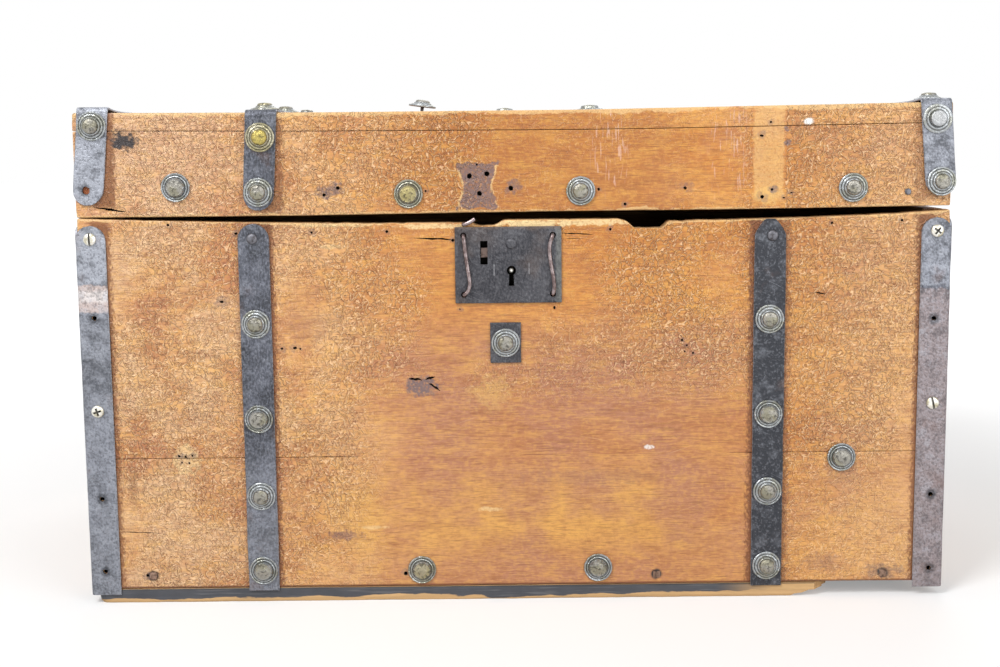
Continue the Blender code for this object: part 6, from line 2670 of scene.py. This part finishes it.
    def lid_nails(self) -> list[Fixing]:
        """Places the nails of the lid: along its top, in its hinge leaves, and a later one in its front.

        Returns:
            The nails.
        """
        x, z = self.lid_nail
        places = [Fixing((x, FRONT_Y, z), OUT_FRONT)]
        for y in (FRONT_Y + self.top_inset, BACK_Y - self.top_inset):
            for x in self.top_x:
                level = LID_TOP_Z + float(lid_lift(x, y)) - self.sunk
                places.append(Fixing((x, y, level), OUT_TOP))
        spots = [(x, LEAF_BACK_Y, LID_LOW_Z + rise) for x in INNER_STRAP_X for rise in self.leaf_rises]
        spots += [(x, STRAP_BACK_Y, LID_TOP_Z - self.strap_drop) for x in LID_STRAP_X]
        return places + [Fixing(spot, OUT_BACK) for spot in spots]


@dataclass
class Studio:
    """A white floor, soft lamps and the camera that looks at the trunk's front."""

    camera_place: Point = (-0.0108, -1.2682, 0.3485)
    pitch: float = math.radians(7.58)
    roll: float = 0.0105
    lens: float = 52.2
    sensor: float = 36.0
    sky: float = 0.36
    floor_size: float = 12.0
    floor_grey: Colour = (0.66, 0.66, 0.66, 1.0)
    floor_glow: float = 0.30
    far_glow: float = 0.85
    glow_from: float = 0.5
    glow_to: float = 2.2
    aim: Point = (0, 0, 0.18)

    def build(self) -> None:
        """Builds the floor, the lamps, the world and the camera."""
        bpy.context.scene.view_settings.view_transform = "Standard"
        self.floor()
        self.world()
        self.lamp("key_lamp", (-0.95, -1.45, 1.80), 0.8, 38.5)
        self.lamp("fill_lamp", (1.45, -1.75, 1.00), 1.4, 21.0)
        self.lamp("back_lamp", (0.3, 1.6, 1.9), 1.6, 20.0)
        self.camera()

    def floor(self) -> None:
        """Lays a wide white floor that shows the trunk's shadow."""
        shape = bmesh.new()
        bmesh.ops.create_grid(shape, x_segments=1, y_segments=1, size=self.floor_size)
        brush = Brush("floor_white")
        away = brush.add("ShaderNodeVectorMath", (brush.where,), operation="LENGTH").outputs["Value"]
        far = brush.wire(
            brush.add("ShaderNodeMapRange"), Value=away, From_Min=self.glow_from, From_Max=self.glow_to,
            To_Min=self.floor_glow, To_Max=self.far_glow,
        )
        strength = brush.sum("MULTIPLY", self.seen(brush, 1.0, 0.0), far.outputs[0])
        glow = brush.wire(brush.add("ShaderNodeEmission"), Strength=strength)
        brush.hue = self.floor_grey
        brush.finish(Roughness=0.9, Specular_IOR_Level=0.1)
        both = brush.add("ShaderNodeAddShader", (brush.shader.outputs[0], glow.outputs[0]))
        brush.wire(brush.tree.nodes["Material Output"], Surface=both.outputs[0])
        finished("floor", shape, brush.material)

    def seen(self, forge: Forge, seen: float, unseen: float) -> NodeSocket:
        """A strength for what the camera sees, and another for all other light.

        Args:
            forge: The tree.
            seen: Strength for what is seen.
            unseen: Strength for other light.

        Returns:
            The socket with the strength.
        """
        rays = forge.add("ShaderNodeLightPath").outputs
        total = forge.sum("MAXIMUM", rays["Is Camera Ray"], rays["Is Glossy Ray"])
        total = forge.sum("MAXIMUM", total, rays["Is Transmission Ray"])
        return forge.wire(forge.add("ShaderNodeMapRange"), Value=total, To_Min=unseen, To_Max=seen).outputs[0]

    def world(self) -> None:
        """Makes a white surround that lights the trunk only softly."""
        world = bpy.data.worlds.new("white_surround")
        bpy.context.scene.world = world
        world.use_nodes = True
        forge = Forge(world.node_tree)
        strength = self.seen(forge, 1.0, self.sky)
        forge.wire(forge.tree.nodes["Background"], Color=(1.0, 1.0, 1.0, 1.0), Strength=strength)

    def lamp(self, name: str, place: Point, size: float, power: float) -> None:
        """Hangs a soft square lamp that faces the trunk.

        Args:
            name: Name of the lamp.
            place: Where it hangs.
            size: Its width.
            power: Its power in watts.
        """
        light = bpy.data.lights.new(name, "AREA")
        light.size = size
        light.energy = power
        lamp = as_object(name, light)
        lamp.location = place
        lamp.rotation_euler = (Vector(self.aim) - Vector(place)).to_track_quat("-Z", "Y").to_euler()

    def camera(self) -> None:
        """Sets the camera."""
        camera = bpy.data.cameras.new("camera")
        camera.lens = self.lens
        camera.sensor_width = self.sensor
        right = Vector((1, 0, 0))
        up = Vector((0, math.sin(self.pitch), math.cos(self.pitch)))
        forward = Vector((0, math.cos(self.pitch), -math.sin(self.pitch)))
        turned_right = right * math.cos(self.roll) - up * math.sin(self.roll)
        turned_up = up * math.cos(self.roll) + right * math.sin(self.roll)
        axes = Matrix((turned_right, turned_up, -forward)).transposed().to_4x4()
        obj = as_object("camera", camera)
        obj.matrix_world = Matrix.Translation(self.camera_place) @ axes
        bpy.context.scene.camera = obj


def main() -> None:
    """Builds the studio and every part of the trunk."""
    logging.basicConfig(level=logging.INFO, format="%(name)s: %(message)s")
    Studio().build()
    palette = Palette()
    Woodwork(palette).build()
    BodyStraps(palette).build()
    LidStraps(palette).build()
    Studs(palette).build()
    Lock(palette).build()
    Fixings(palette).build()
    Hinges(palette).build()
    Handles(palette).build()


if __name__ == "__main__":
    main()
